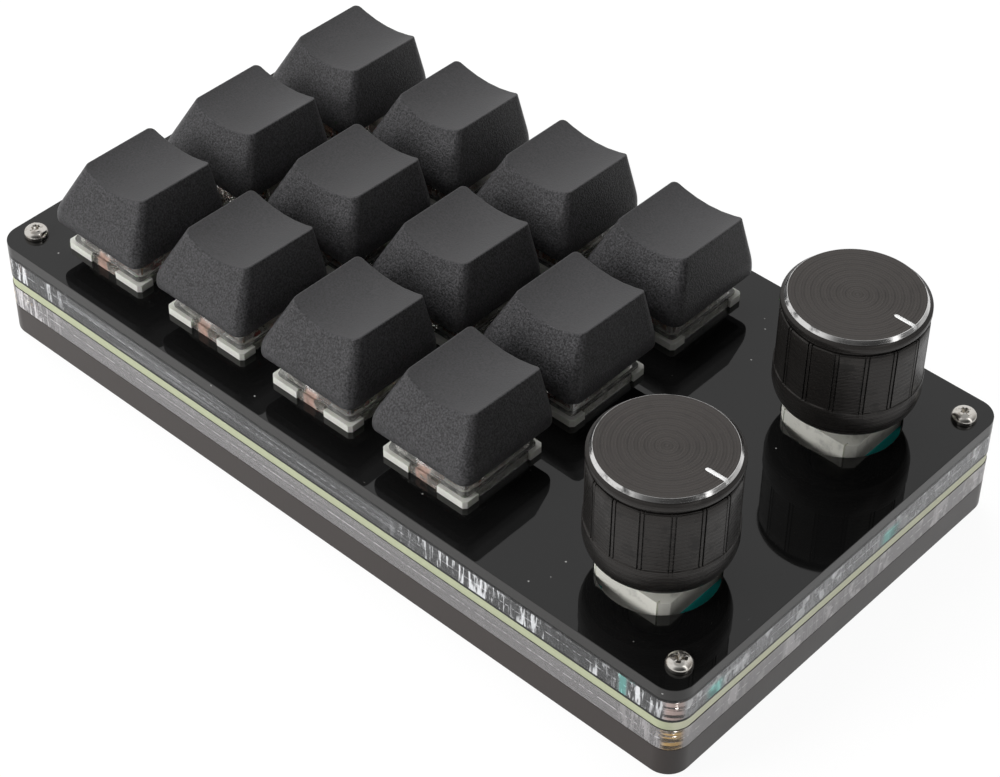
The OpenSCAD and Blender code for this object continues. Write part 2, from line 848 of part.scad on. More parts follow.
// Shaft with one flat where the dial sits
module encoder_shaft() {
  shaft_top = face_z + shaft_len;
  flat_z = face_z + bushing_h + fit_gap;
  difference() {
    union() {
      bar(shaft_d, shaft_step_z, shaft_top);
      tail(0, tail_z, shaft_step_z + fit_gap);
    }
    block(shaft_d, shaft_d, flat_z, shaft_top + over, -shaft_d + flat_depth);
  }
}

module knob_profile() {
  r = knob_d / 2;
  ring_z = knob_top_z - ring_h;
  neck_top = knob_top_z - knob_collar_h;
  neck_low = neck_top - neck_h;
  polygon([
    [0, knob_lift],
    [r - foot_taper, knob_lift],
    [r - foot_taper / 4, knob_lift + foot_taper_h / 2],
    [r, knob_lift + foot_taper_h],
    [r, neck_low],
    [r - neck_depth, neck_low],
    [r - neck_depth, neck_top],
    [r - collar_in, neck_top],
    [r - collar_in, ring_z - ring_h / 2],
    [knob_top_d / 2 + ring_w, ring_z],
    [knob_top_d / 2, knob_top_z],
    [0, knob_top_z]]);
}

module knob() {
  r = knob_d / 2;
  panel_low = knob_top_z - knob_collar_h - neck_h - panel_h;
  bushing_top = face_z + bushing_h;
  difference() {
    rotate_extrude($fn = 96) knob_profile();
    for (k = [0:groove_count - 1]) rotate(360 * k / groove_count) {
      block(2 * groove_depth, groove_w, panel_low, panel_low + panel_h, r);
    }
    bar(knob_d - 2 * foot_taper - 2 * knob_wall, knob_lift - over, knob_lift + knob_hollow_h);
    bar(bushing_d + 2 * bushing_room, knob_lift - over, bushing_top + push_travel + knob_bore_gap);
    difference() {
      bar(shaft_d + 2 * shaft_gap, knob_lift, face_z + shaft_len + knob_bore_gap);
      block(shaft_d, shaft_d, bushing_top, knob_top_z, -shaft_d + flat_depth - slide_gap);
    }
  }
}

module metal_shaft() {
  color([0.74, 0.74, 0.74]) encoder_shaft();
}

module black_rotor() {
  color([0.2, 0.2, 0.2]) encoder_rotor();
}

module black_knob() {
  color([0.13, 0.12, 0.12]) knob();
}

for (c = [0:key_cols - 1], r = [0:key_rows - 1]) {
  name = str(row_names[r], "_", c + 1);
  at_key(c, r) keycap();
  at_key(c, r) stem();
  at_key(c, r) spring();
}
top_plate();
upper_spacer();
circuit_board();
lower_spacer();
bottom_plate();
case_screws();
case_inserts();
rubber_feet();
switch_top_housings();
switch_bottom_housings();
switch_contacts();
switch_sockets();
key_lights();
board_chips();
usb_port();
encoder_brackets();
encoder_housings();
encoder_terminals();
at_dial(-1) black_rotor();  // encoder_rotor_front
at_dial(1) black_rotor();  // encoder_rotor_rear
at_dial(-1) metal_shaft();  // encoder_shaft_front
at_dial(1) metal_shaft();  // encoder_shaft_rear
at_dial(-1) black_knob();  // knob_front
at_dial(1) black_knob();  // knob_rear
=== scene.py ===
"""Finishes and fine forms of a layered macro keypad with two push dials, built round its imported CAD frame.

Every length in the classes is in millimetres, and the meshes are written in metres.
"""

from __future__ import annotations

import logging
import math
from dataclasses import dataclass, field
from enum import Enum, IntEnum
from typing import Any, Dict, List, Optional, Sequence, Tuple, Union

import bmesh
import bpy
import numpy as np
from mathutils import Matrix, Vector

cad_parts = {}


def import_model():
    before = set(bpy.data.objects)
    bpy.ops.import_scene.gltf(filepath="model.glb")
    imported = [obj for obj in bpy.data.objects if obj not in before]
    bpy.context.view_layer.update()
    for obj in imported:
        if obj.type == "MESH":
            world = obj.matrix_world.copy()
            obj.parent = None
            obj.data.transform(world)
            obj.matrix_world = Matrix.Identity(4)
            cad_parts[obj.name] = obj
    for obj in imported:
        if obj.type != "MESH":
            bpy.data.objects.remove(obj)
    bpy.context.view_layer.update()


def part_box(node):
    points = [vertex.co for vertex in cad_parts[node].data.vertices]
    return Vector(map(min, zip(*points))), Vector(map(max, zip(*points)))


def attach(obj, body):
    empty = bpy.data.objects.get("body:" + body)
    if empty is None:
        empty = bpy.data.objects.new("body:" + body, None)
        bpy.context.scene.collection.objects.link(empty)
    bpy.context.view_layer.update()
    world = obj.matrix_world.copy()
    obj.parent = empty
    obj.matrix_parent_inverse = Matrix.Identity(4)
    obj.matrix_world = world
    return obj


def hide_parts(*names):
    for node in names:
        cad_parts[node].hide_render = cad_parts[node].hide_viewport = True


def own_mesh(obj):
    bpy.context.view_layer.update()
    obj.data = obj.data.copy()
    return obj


log = logging.getLogger("keypad")

MM = 0.001
Colour = Tuple[float, float, float]
Point = Tuple[float, float, float]
Spots = Tuple[Tuple[float, float], ...]
KEYS = tuple(f"{row}_{column}" for row in ("front", "middle", "rear") for column in (1, 2, 3, 4))

# Lengths in millimetres and angles in radians
TOP_OF_PLATE = 17.7
LEAST_ROUND = 0.12
MERGE_DISTANCE = 0.002
EDGE_STEPS = 2
EDGE_ANGLE = math.radians(32.0)
FLAT_ANGLE = math.radians(0.6)


# Shader maths


class Wire:
    """An output of a shader node. Arithmetic on it adds Math nodes, and numbers may stand on either side."""

    def __init__(self, tree: Tree, socket: bpy.types.NodeSocket) -> None:
        """Keeps the tree and the socket."""
        self.tree = tree
        self.socket = socket

    def maths(self, operation: str, *values: Operand) -> Wire:
        """Adds one Math node.

        Args:
            operation: Blender's name of the operation.
            values: the operands, in order.

        Returns:
            The node's value.
        """
        node = self.tree.node("ShaderNodeMath", {"operation": operation}, dict(enumerate(values)))
        return Wire(self.tree, node.outputs[0])

    def __add__(self, other: Operand) -> Wire:
        """Sum."""
        return self.maths("ADD", self, other)

    __radd__ = __add__

    def __sub__(self, other: Operand) -> Wire:
        """Difference."""
        return self.maths("SUBTRACT", self, other)

    def __rsub__(self, other: Operand) -> Wire:
        """Difference from a number."""
        return self.maths("SUBTRACT", other, self)

    def __mul__(self, other: Operand) -> Wire:
        """Product."""
        return self.maths("MULTIPLY", self, other)

    __rmul__ = __mul__

    def __truediv__(self, other: Operand) -> Wire:
        """Quotient."""
        return self.maths("DIVIDE", self, other)

    def __rtruediv__(self, other: Operand) -> Wire:
        """Quotient of a number by this."""
        return self.maths("DIVIDE", other, self)

    def __abs__(self) -> Wire:
        """Size without sign."""
        return self.maths("ABSOLUTE", self)

    def sine(self) -> Wire:
        """Sine of an angle in radians."""
        return self.maths("SINE", self)

    def over(self, edge: Operand) -> Wire:
        """One where this is greater than edge, and zero elsewhere."""
        return self.maths("GREATER_THAN", self, edge)

    def rise(self, low: float, high: float) -> Wire:
        """Smooth rise from zero at low to one at high, held flat outside.

        Args:
            low: where the rise starts.
            high: where it ends; below low it falls instead.

        Returns:
            The share of the rise.
        """
        start, end, first, last = (low, high, 0.0, 1.0) if low < high else (high, low, 1.0, 0.0)
        node = self.tree.node(
            "ShaderNodeMapRange",
            {"interpolation_type": "SMOOTHSTEP"},
            {"Value": self, "From Min": start, "From Max": end, "To Min": first, "To Max": last},
        )
        return Wire(self.tree, node.outputs["Result"])


class Arrow(Wire):
    """A vector output, on which arithmetic adds Vector Math nodes."""

    def vector_maths(self, operation: str, *values: Operand) -> Arrow:
        """Adds one Vector Math node on this and the given values, and returns its vector."""
        node = self.tree.node("ShaderNodeVectorMath", {"operation": operation}, dict(enumerate((self, *values))))
        return Arrow(self.tree, node.outputs["Vector"])

    def __sub__(self, other: Operand) -> Arrow:
        """Difference of two vectors."""
        return self.vector_maths("SUBTRACT", other)

    def __mul__(self, other: Operand) -> Arrow:
        """Product, axis by axis."""
        return self.vector_maths("MULTIPLY", other)

    def length(self) -> Wire:
        """Length of the vector."""
        node = self.tree.node("ShaderNodeVectorMath", {"operation": "LENGTH"}, {0: self})
        return Wire(self.tree, node.outputs["Value"])

    def split(self) -> Tuple[Wire, Wire, Wire]:
        """The three parts along X, Y and Z."""
        node = self.tree.node("ShaderNodeSeparateXYZ", {}, {0: self})
        return tuple(Wire(self.tree, out) for out in node.outputs)


Operand = Union[float, Sequence[float], Wire]


class Tree:
    """The node tree of a material or a world."""

    def __init__(self, owner: Union[bpy.types.Material, bpy.types.World]) -> None:
        """Empties the owner's tree.

        Args:
            owner: the material or world that is given its nodes here.
        """
        owner.use_nodes = True
        self.nodes = owner.node_tree.nodes
        self.links = owner.node_tree.links
        self.nodes.clear()

    def node(
        self,
        kind: str,
        settings: Optional[Dict[str, Any]] = None,
        values: Optional[Dict[Union[int, str], Any]] = None,
    ) -> bpy.types.Node:
        """Adds any node.

        Args:
            kind: Blender's type name of the node.
            settings: the node's own settings, which are set first.
            values: a number, colour or wire for each input, by name or place.

        Returns:
            The new node.
        """
        node = self.nodes.new(kind)
        for name, value in (settings or {}).items():
            setattr(node, name, value)
        for name, value in (values or {}).items():
            socket = node.inputs[name]
            if isinstance(value, Wire):
                self.links.new(value.socket, socket)
            elif socket.type == "RGBA":
                socket.default_value = (*value, 1.0)[:4]
            else:
                socket.default_value = value
        return node

    def place(self) -> Arrow:
        """The point on the piece, in Object coordinates."""
        return Arrow(self, self.node("ShaderNodeTexCoord").outputs["Object"])

    def facing(self) -> Arrow:
        """The direction in which the surface faces."""
        return Arrow(self, self.node("ShaderNodeTexCoord").outputs["Normal"])

    def side(self) -> Wire:
        """One on the upright sides of a piece, and zero on its level faces."""
        return abs(self.facing().split()[2]).rise(0.7, 0.3)

    def ray(self, kind: str) -> Wire:
        """One for rays of a kind, which is Camera, Glossy or Transmission, and zero for others."""
        return Wire(self, self.node("ShaderNodeLightPath").outputs[f"Is {kind} Ray"])

    def noise(self, where: Arrow, size: float, detail: float = 2.0, rough: float = 0.5) -> Wire:
        """Noise from zero to one.

        Args:
            where: the point.
            size: the breadth of one grain in millimetres.
            detail: the number of finer layers.
            rough: how strong the finer layers are.

        Returns:
            The noise.
        """
        values = {"Vector": where, "Scale": 1 / (size * MM), "Detail": detail, "Roughness": rough}
        return Wire(self, self.node("ShaderNodeTexNoise", {}, values).outputs["Fac"])

    def cells(self, where: Arrow, size: float) -> Wire:
        """Distance to the nearest of many scattered points, as a share of their spacing.

        Args:
            where: the point.
            size: the spacing in millimetres.

        Returns:
            The distance.
        """
        values = {"Vector": where, "Scale": 1 / (size * MM)}
        return Wire(self, self.node("ShaderNodeTexVoronoi", {}, values).outputs["Distance"])

    def blend(self, share: Operand, first: Any, second: Any) -> Wire:
        """Colour between two colours.

        Args:
            share: zero gives the first and one the second.
            first: a colour or wire.
            second: a colour or wire.

        Returns:
            The mixed colour.
        """
        values = {0: share, 6: first, 7: second}
        return Wire(self, self.node("ShaderNodeMix", {"data_type": "RGBA"}, values).outputs[2])

    def bump(self, height: Wire, depth: float, strength: float = 1.0) -> Wire:
        """Surface relief.

        Args:
            height: the relief from zero to one.
            depth: its depth in millimetres.
            strength: how much of it shows.

        Returns:
            The normal for a shader.
        """
        values = {"Height": height, "Distance": depth * MM, "Strength": strength}
        return Wire(self, self.node("ShaderNodeBump", {}, values).outputs["Normal"])

    def surface(self, colour: Any, roughness: Operand, more: Optional[Dict[str, Any]] = None) -> Wire:
        """Principled shader.

        Args:
            colour: the base colour.
            roughness: the roughness.
            more: values of other sockets by name.

        Returns:
            The shader.
        """
        values = {"Base Color": colour, "Roughness": roughness, **(more or {})}
        return Wire(self, self.node("ShaderNodeBsdfPrincipled", {}, values).outputs[0])

    def mix(self, share: Operand, first: Wire, second: Wire) -> Wire:
        """A shader between two, where a share of zero gives the first and one the second."""
        return Wire(self, self.node("ShaderNodeMixShader", {}, {0: share, 1: first, 2: second}).outputs[0])

    def finish(self, shader: Wire) -> None:
        """Joins the shader to the material's output."""
        self.node("ShaderNodeOutputMaterial", {}, {"Surface": shader})


# Finishes


@dataclass(frozen=True)
class Finish:
    """A finish with one colour. Subclasses add what varies over the surface."""

    name: str
    colour: Colour = (0.5, 0.5, 0.5)
    roughness: float = 0.5

    def material(self) -> bpy.types.Material:
        """Makes the material once, under a name that no CAD material has.

        Returns:
            The material, which is the same one each time.
        """
        name = f"{self.name}_finish"
        found = bpy.data.materials.get(name)
        if found:
            return found
        made = bpy.data.materials.new(name)
        tree = Tree(made)
        tree.finish(self.shade(tree))
        return made

    def shade(self, tree: Tree) -> Wire:
        """Adds the nodes and returns the shader."""
        return tree.surface(self.colour, self.roughness)


@dataclass(frozen=True)
class MouldedPlastic(Finish):
    """Moulded plastic with a fine spark eroded grain and a slow drift of tone.

    Grain is the breadth of one grain and depth its height. Drift and speckle say how far the tone moves with the
    slow and the fine noise, and deep is the darkest tone's share of the colour. A large speckle makes painted glints:
    bright specks in the colour that stand in for highlights on the grain.
    """

    grain: float = 0.16
    depth: float = 0.012
    drift: float = 0.12
    speckle_and_glints: float = 0.2
    deep: float = 0.5
    level: float = 0.35

    def shade(self, tree: Tree) -> Wire:
        """The grain feeds the relief, the colour and the roughness, and shows most on faces that lean.

        The tone runs from the dark to the light colour, and at its usual level gives the finish's own colour. A large
        speckle makes bright specks in it, painted glints on the grain.

        Args:
            tree: the material's tree.

        Returns:
            The shader.
        """
        where = tree.place()
        grain = tree.noise(where, self.grain, 3.0, 0.6)
        slow = tree.noise(where, 40 * self.grain, 2.0)
        lean = abs(tree.facing().split()[2]).rise(0.97, 0.75)
        # With a large speckle the fine noise paints glints: bright specks that stand in for highlights on the grain
        tone = self.level + (slow - 0.5) * self.drift + (grain - 0.5) * self.speckle_and_glints * (0.4 + lean * 0.6)
        lighter = (1 - (1 - self.level) * self.deep) / self.level
        dark = tuple(self.deep * c for c in self.colour)
        light = tuple(min(0.95, lighter * c) for c in self.colour)
        roughness = self.roughness + (grain - 0.5) * (0.16 + self.speckle_and_glints * 0.12)
        relief = tree.bump(grain * (0.35 + lean * 0.65), self.depth)
        return tree.surface(tree.blend(tone, dark, light), roughness, {"Normal": relief})


@dataclass(frozen=True)
class GlossSheet(Finish):
    """Polished black sheet with fine dust, a few hairs of dust and faint wiping marks."""

    dust: float = 0.6
    edge_light: Colour = (0.02, 0.019, 0.018)
    lint: Colour = (0.6, 0.6, 0.58)

    def shade(self, tree: Tree) -> Wire:
        """Dust lightens and dulls small spots, and the sawn edge is duller than the faces.

        Args:
            tree: the material's tree.

        Returns:
            The shader.
        """
        where = tree.place()
        speck = tree.cells(where, 3.1).rise(0.055, 0.025) * tree.noise(where, 9.0, 1.0).over(0.47)
        hair = tree.cells(where * (1.0, 0.22, 1.0), 2.3).rise(0.03, 0.012) * tree.noise(where, 14.0, 1.0).over(0.6)
        dust = (speck + hair * 0.6) * self.dust
        smear = tree.noise(where * (1.0, 0.3, 1.0), 6.0, 4.0, 0.7)
        edge = tree.side()
        colour = tree.blend(dust, tree.blend(edge, self.colour, self.edge_light), self.lint)
        roughness = self.roughness + smear.rise(0.45, 0.8) * 0.03 + edge * 0.16 + dust * 0.3
        return tree.surface(colour, roughness, {"Normal": tree.bump(smear, 0.004, 0.35)})


@dataclass(frozen=True)
class SatinSheet(Finish):
    """Thick dark sheet with a satin skin and faint upright marks from the cutter."""

    def shade(self, tree: Tree) -> Wire:
        """Upright streaks show on the sides only.

        Args:
            tree: the material's tree.

        Returns:
            The shader.
        """
        where = tree.place()
        streak = tree.noise(where * (1.0, 1.0, 0.04), 0.35, 3.0, 0.6)
        cloud = tree.noise(where, 7.0, 3.0)
        side = tree.side()
        tone = 0.8 + cloud * 0.2 + side * (streak - 0.5) * 0.16
        colour = tree.blend(tone, tuple(0.6 * c for c in self.colour), self.colour)
        relief = tree.bump(streak * side + cloud * 0.2, 0.01, 0.5)
        return tree.surface(colour, self.roughness + (cloud - 0.5) * 0.1, {"Normal": relief})


@dataclass(frozen=True)
class ClearSheet(Finish):
    """Clear cast sheet: polished faces, and cut sides that are calm in the middle and streaky towards the ends.

    Lengths are in millimetres. Calm is the stretch of X without streaks. Joint and foot are the heights of the
    painted shadow lines where the sheet meets its neighbours, and glint that of a dotted bright line. Bands says how
    strong the level bands of the calm stretch are, and tinge how strong the painted teal glints are, the teal of the
    housings behind painted in spots, which are given as middle and half width. Thread is the tint of a painted
    see-through image of the screw or insert in the rounded corners.
    """

    ripple: float = 0.02
    haze: float = 0.05
    calm: Tuple[float, float] = (-52.0, 20.0)
    streaks: float = 0.75
    # Heights of the painted shadow lines where the sheet meets its neighbours
    joint_shadow: float = 15.7
    foot: float = 11.6
    glint: float = 13.75
    bands: float = 0.13
    # Share and places of the painted teal glints, the teal of the housings behind painted on the cut sides
    painted_teal_glints: float = 0.35
    front_spots: Spots = ((56.5, 1.1),)
    right_spots: Spots = ((-27.3, 2.4), (9.7, 2.8))
    spot_top: Tuple[float, float] = (14.9, 13.6)
    frosted: Colour = (0.82, 0.83, 0.85)
    teal: Colour = (0.02, 0.6, 0.52)
    thread: Colour = (0.62, 0.47, 0.43)
    shade_dark: Colour = (0.03, 0.028, 0.03)

    def shade(self, tree: Tree) -> Wire:
        """A clear shader, with a frosted one where the cutter left its upright streaks.

        Right is one on sides that face along X, and ends is one outside the calm stretch. Painted shadow lines at the
        joins, bands and painted shadows go into the clear shader's colour, with less painted shadow on sides along X.
        The share of the frosted shader adds up streaks, bands, dots, the dotted line, the painted teal glints, more
        frost on sides along X, which is painted light on them, and, at the corners, painted see-through rings of the
        thread behind.

        Args:
            tree: the material's tree.

        Returns:
            The shader.
        """
        where, side = tree.place(), tree.side()
        x, y, height = where.split()
        face_x, face_y, _ = tree.facing().split()
        right = face_x.rise(0.5, 0.9)
        low, high = self.calm
        ends = x.rise((high - 8) * MM, (high + 8) * MM) + x.rise((low + 4) * MM, (low - 4) * MM)
        fine = tree.noise(where * (1.0, 1.0, 0.05), 0.3, 3.0, 0.65)
        broad = tree.noise(where * (1.0, 1.0, 0.12), 2.4, 2.0, 0.5)
        relief = tree.bump((fine * 0.5 + broad * 1.5) * side * (0.12 + ends) * (1 - right * 0.4), self.ripple)
        shadow = tree.noise(where * (1.0, 1.0, 0.1), 1.3, 3.0, 0.7).rise(0.5, 0.6) * side * (0.25 + ends * 0.75)
        band = tree.noise(where * (0.02, 0.02, 1.0), 0.42, 2.0, 0.6)
        # Painted shadow lines where the sheet meets its neighbours, at the joint and foot heights
        joint_shadow = abs(height - self.joint_shadow * MM).rise(0.44 * MM, 0.34 * MM)
        joint_shadow = (joint_shadow + abs(height - self.foot * MM).rise(0.5 * MM, 0.38 * MM)) * side
        # Sides along X get less of the painted shadow, a painted lightening of that side
        dark = shadow * (0.8 - right * 0.4) + band.rise(0.47, 0.36) * (1 - ends) * side * self.bands * 4 + joint_shadow
        glass = {"IOR": 1.49, "Transmission Weight": 1.0, "Normal": relief}
        clear = tree.surface(tree.blend(dark, self.colour, self.shade_dark), self.roughness, glass)

        # Painted teal glints: the teal of the encoder housings, painted onto the cut sides in soft spots
        top, bottom = self.spot_top
        teal = self.spots(y, right * height.rise(top * MM, bottom * MM), self.right_spots)
        teal = teal + self.spots(x, side * (1 - right), self.front_spots)
        # At the rounded corners, rings in the thread's tint paint the screw or insert seen through the sheet
        corner = abs(face_x * face_y).rise(0.26, 0.46)
        rings = tree.noise(where * (0.06, 0.06, 1.0), 0.55, 2.0).rise(0.46, 0.56) * corner
        tint = tree.blend(teal * (self.painted_teal_glints * 2), self.frosted, self.teal)
        frost = tree.surface(tree.blend(corner, tint, self.thread), 0.35, {"Normal": relief})

        narrow = tree.noise(where * (1.0, 1.0, 0.12), 0.9, 4.0, 0.7).rise(0.49, 0.58)
        wide = tree.noise(where * (1.0, 0.6, 0.4), 1.7, 3.0, 0.6).rise(0.52, 0.6)
        streak = narrow * (1 - right) + (narrow * 0.25 + wide * 0.75) * right
        patch = tree.noise(where * (1.0, 1.0, 0.35), 5.5, 2.0).rise(0.36, 0.54)
        dots = tree.noise(where * (1.0, 1.0, 1.8), 0.26, 1.0).rise(0.62, 0.72)
        dashes = tree.noise(where * (1.0, 1.0, 0.1), 0.5, 2.0).rise(0.42, 0.58)
        line = abs(height - self.glint * MM).rise(0.09 * MM, 0.03 * MM) * dashes
        share = streak * patch * ends * (1 - right * 0.3) * self.streaks
        share = share + band.rise(0.5, 0.64) * (1 - ends) * self.bands + line * 0.45
        # More frost on sides along X lightens them, painted light; the teal term adds the painted teal glints
        share = share + self.haze + right * 0.16 + dots * 0.08 + teal * self.painted_teal_glints * (0.3 + patch * 0.7)
        return tree.mix(side * (share * (1 - corner * 0.7) + rings * 0.6) * (1 - joint_shadow), clear, frost)

    # These patches carry the painted teal glints, colour of the housings behind painted on the sheet
    @staticmethod
    def spots(along: Wire, share: Wire, places: Spots) -> Wire:
        """Soft upright patches where something behind shows through.

        Args:
            along: the way along the side.
            share: how much of it counts.
            places: middle and half width of each patch, in millimetres.

        Returns:
            The share of the patches.
        """
        total = along * 0.0
        for place, half in places:
            total = total + abs(along - place * MM).rise(half * MM, half * 0.25 * MM)
        return total * share


@dataclass(frozen=True)
class ClearMoulding(Finish):
    """Clear moulded plastic, a little smoky, with soft flow lines and the copper contact showing at the front.

    Pitch is the distance between keys, first the X of the first column, and patch the middle, the half width and
    the front line of the copper patch within a key's own square, all in millimetres. The copper patch is painted: it
    stands for the copper contact seen through the housing.
    """

    haze: float = 0.08
    pitch: float = 21.4
    first: float = -48.275
    # Place and colour of the painted copper patch, the contact seen through the housing
    patch: Tuple[float, float, float] = (-0.4, 1.5, -6.8)
    milk: Colour = (0.6, 0.6, 0.56)
    copper: Colour = (0.68, 0.45, 0.37)

    def shade(self, tree: Tree) -> Wire:
        """A clear shader with a thin share of haze, and a copper patch in the front of each key's own square.

        The place over the pitch, less its whole part, says where in a key's square a point lies.

        Args:
            tree: the material's tree.

        Returns:
            The shader.
        """
        where = tree.place()
        x, y, _ = where.split()
        across = x / (self.pitch * MM) - self.first / self.pitch + 0.5
        along = y / (self.pitch * MM) + 5.5
        across = (across.maths("FRACT", across) - 0.5) * self.pitch
        along = (along.maths("FRACT", along) - 0.5) * self.pitch
        flow = tree.noise(where, 1.6, 3.0)
        relief = tree.bump(flow, 0.05, 0.6)
        middle_x, half, front = self.patch
        # The copper patch is painted: it stands for the copper contact seen through the housing
        patch = abs(across - middle_x).rise(half, half - 0.8) * along.rise(front, front - 0.2) * flow.rise(0.2, 0.5)
        clear = tree.surface(self.colour, self.roughness, {"IOR": 1.57, "Transmission Weight": 1.0, "Normal": relief})
        milky = tree.surface(tree.blend(patch, self.milk, self.copper), 0.35, {"Normal": relief})
        return tree.mix(self.haze + flow.rise(0.45, 0.7) * 0.25 + patch * 0.4, clear, milky)


@dataclass(frozen=True)
class MilkyMoulding(Finish):
    """Translucent milky plastic with a smooth skin."""

    def shade(self, tree: Tree) -> Wire:
        """Light spreads under the skin, and the tone drifts slowly.

        Args:
            tree: the material's tree.

        Returns:
            The shader.
        """
        where = tree.place()
        cloud = tree.noise(where, 1.8, 3.0)
        more = {
            "Subsurface Weight": 0.35,
            "Subsurface Radius": (0.6 * MM, 0.7 * MM, 0.55 * MM),
            "Subsurface Scale": 1.0,
            "Normal": tree.bump(tree.noise(where, 0.12, 2.0), 0.006, 0.6),
        }
        colour = tree.blend(cloud, tuple(0.82 * c for c in self.colour), self.colour)
        return tree.surface(colour, self.roughness + (cloud - 0.5) * 0.15, more)


class Lay(Enum):
    """Which way the fine lines of a machined or rolled surface run."""

    ROUND_THE_AXIS = "rings on a face and bands on a side"
    LENGTHWISE = "lines along X"
    UNDIRECTED = "no direction"


@dataclass(frozen=True)
class WorkedMetal(Finish):
    """Turned, rolled or plated metal with fine tool lines.

    Axis, pitch and depth of the lines are in millimetres. Contrast says how far the lines go into the colour.
    """

    lay: Lay = Lay.UNDIRECTED
    axis: Tuple[float, float] = (0.0, 0.0)
    pitch: float = 0.12
    depth: float = 0.004
    metallic: float = 1.0
    stretch: float = 0.0
    contrast: float = 0.0
    stain_and_dark_reflection: Colour = (0.3, 0.28, 0.25)
    stain_and_dark_reflection_share: float = 0.15

    def shade(self, tree: Tree) -> Wire:
        """Tool lines feed relief, roughness and colour, and stains change the colour in patches.

        Lines round an axis are two sines of the distance from the axis plus the height, over the pitch.

        Args:
            tree: the material's tree.

        Returns:
            The shader.
        """
        where = tree.place()
        if self.lay is Lay.ROUND_THE_AXIS:
            flat = (where - (self.axis[0] * MM, self.axis[1] * MM, 0.0)) * (1.0, 1.0, 0.0)
            phase = (flat.length() + where.split()[2]) * (2 * math.pi / (self.pitch * MM))
            wander = tree.noise(where, 2.5, 2.0)
            lines = 0.5 + phase.sine() * 0.3 + (phase * 0.377 + wander * 2).sine() * 0.2
        elif self.lay is Lay.LENGTHWISE:
            lines = tree.noise(where * (0.04, 1.0, 1.0), self.pitch, 3.0, 0.7)
        else:
            lines = tree.noise(where, self.pitch, 3.0, 0.6)
        # Stain patches; on a dial's cut ring they paint dark reflection instead
        patch = tree.noise(where, 1.9, 4.0, 0.62).rise(0.48, 0.72)
        colour = tree.blend(patch * self.stain_and_dark_reflection_share + (lines - 0.5) * self.contrast, self.colour, self.stain_and_dark_reflection)
        roughness = self.roughness + (lines - 0.5) * 0.16 + patch * self.stain_and_dark_reflection_share * 0.3
        more = {"Metallic": self.metallic, "Anisotropic": self.stretch, "Normal": tree.bump(lines, self.depth)}
        return tree.surface(colour, roughness, more)


@dataclass(frozen=True)
class BoardLaminate(Finish):
    """Glass fibre board: dark mask and copper relief on the faces, pale cut side under a black line.

    Top and bottom are the heights of its faces, in millimetres.
    """

    top: float = 11.6
    bottom: float = 10.0
    mask: Colour = (0.012, 0.013, 0.012)
    track: Colour = (0.03, 0.034, 0.03)
    painted_lit_side: Colour = (0.8, 0.8, 0.6)

    def shade(self, tree: Tree) -> Wire:
        """The side shows pale layers of glass cloth, and the faces show the mask over the tracks.

        The cloth is painted paler on sides that face along X, painted light on those sides. The black line along the
        upper edge is mask and painted shadow from the frame above, and the mask wraps round the lower edge.

        Args:
            tree: the material's tree.

        Returns:
            The shader.
        """
        where, side = tree.place(), tree.side()
        height = where.split()[2]
        cloth = tree.noise(where * (0.3, 0.3, 1.0), 0.16, 2.0, 0.6)
        drift = tree.noise(where, 5.0, 2.0)
        pale = tree.blend(cloth * 0.7 + drift * 0.3, tuple(0.72 * c for c in self.colour), self.colour)
        # Painted light: sides that face along X turn paler
        pale = tree.blend(tree.facing().split()[0].rise(0.5, 0.9) * 0.8, pale, self.painted_lit_side)
        # Black lines at the edges: the upper one is mask and painted shadow from the frame above, the lower one mask
        skin = height.over((self.top - 0.14) * MM) + 1 - height.over((self.bottom + 0.03) * MM)
        tracks = tree.noise(where * (1.0, 0.25, 1.0), 2.2, 1.0).rise(0.5, 0.53)
        face = tree.blend(tracks * 0.35, self.mask, self.track)
        roughness = self.roughness + side * 0.25 + (cloth - 0.5) * 0.1
        relief = tree.bump(tracks * (1 - side) + cloth * side * 0.4, 0.03, 0.6)
        return tree.surface(tree.blend(side * (1 - skin), face, pale), roughness, {"Normal": relief})


@dataclass(frozen=True)
class LampFinish(Finish):
    """White plastic lamp body under a clear coat, with the yellow of the lamp's filling in patches."""

    filling: Colour = (0.8, 0.66, 0.2)

    def shade(self, tree: Tree) -> Wire:
        """One cloudy noise feeds the patches, the roughness and the relief.

        Args:
            tree: the material's tree.

        Returns:
            The shader.
        """
        cloud = tree.noise(tree.place(), 0.8, 2.0)
        colour = tree.blend(cloud.rise(0.4, 0.6), self.colour, self.filling)
        more = {"Coat Weight": 0.6, "Normal": tree.bump(cloud, 0.02, 0.5)}
        return tree.surface(colour, self.roughness + cloud * 0.2, more)


# The caps' strong speckle paints glints on the grain, as bright specks in the colour
CAP = MouldedPlastic(
    "cap_matt_black", (0.036, 0.0352, 0.037), 0.42, grain=0.27, depth=0.09, drift=0.2, speckle_and_glints=2.6, deep=0.3
)
STEM = MouldedPlastic("stem_red", (0.42, 0.03, 0.025), 0.4, grain=0.1, depth=0.004)
SOCKET = MouldedPlastic("socket_black", (0.03, 0.03, 0.03), 0.5)
CHIP = MouldedPlastic("chip_black", (0.03, 0.03, 0.031), 0.6, grain=0.08)
RUBBER = MouldedPlastic("foot_rubber", (0.02, 0.02, 0.02), 0.8, grain=0.12, depth=0.02)
TEAL = MouldedPlastic("encoder_teal", (0.01, 0.8, 0.68), 0.42, grain=0.2, depth=0.008, drift=0.15)
ROTOR = MouldedPlastic("rotor_grey", (0.1, 0.1, 0.1), 0.45)
PLATE = GlossSheet("plate_gloss_black", (0.006, 0.006, 0.006), 0.03)
BASE = SatinSheet("base_satin_brown", (0.022, 0.0145, 0.0118), 0.3)
ACRYLIC = ClearSheet("acrylic_clear", (0.85, 0.84, 0.83), 0.03)
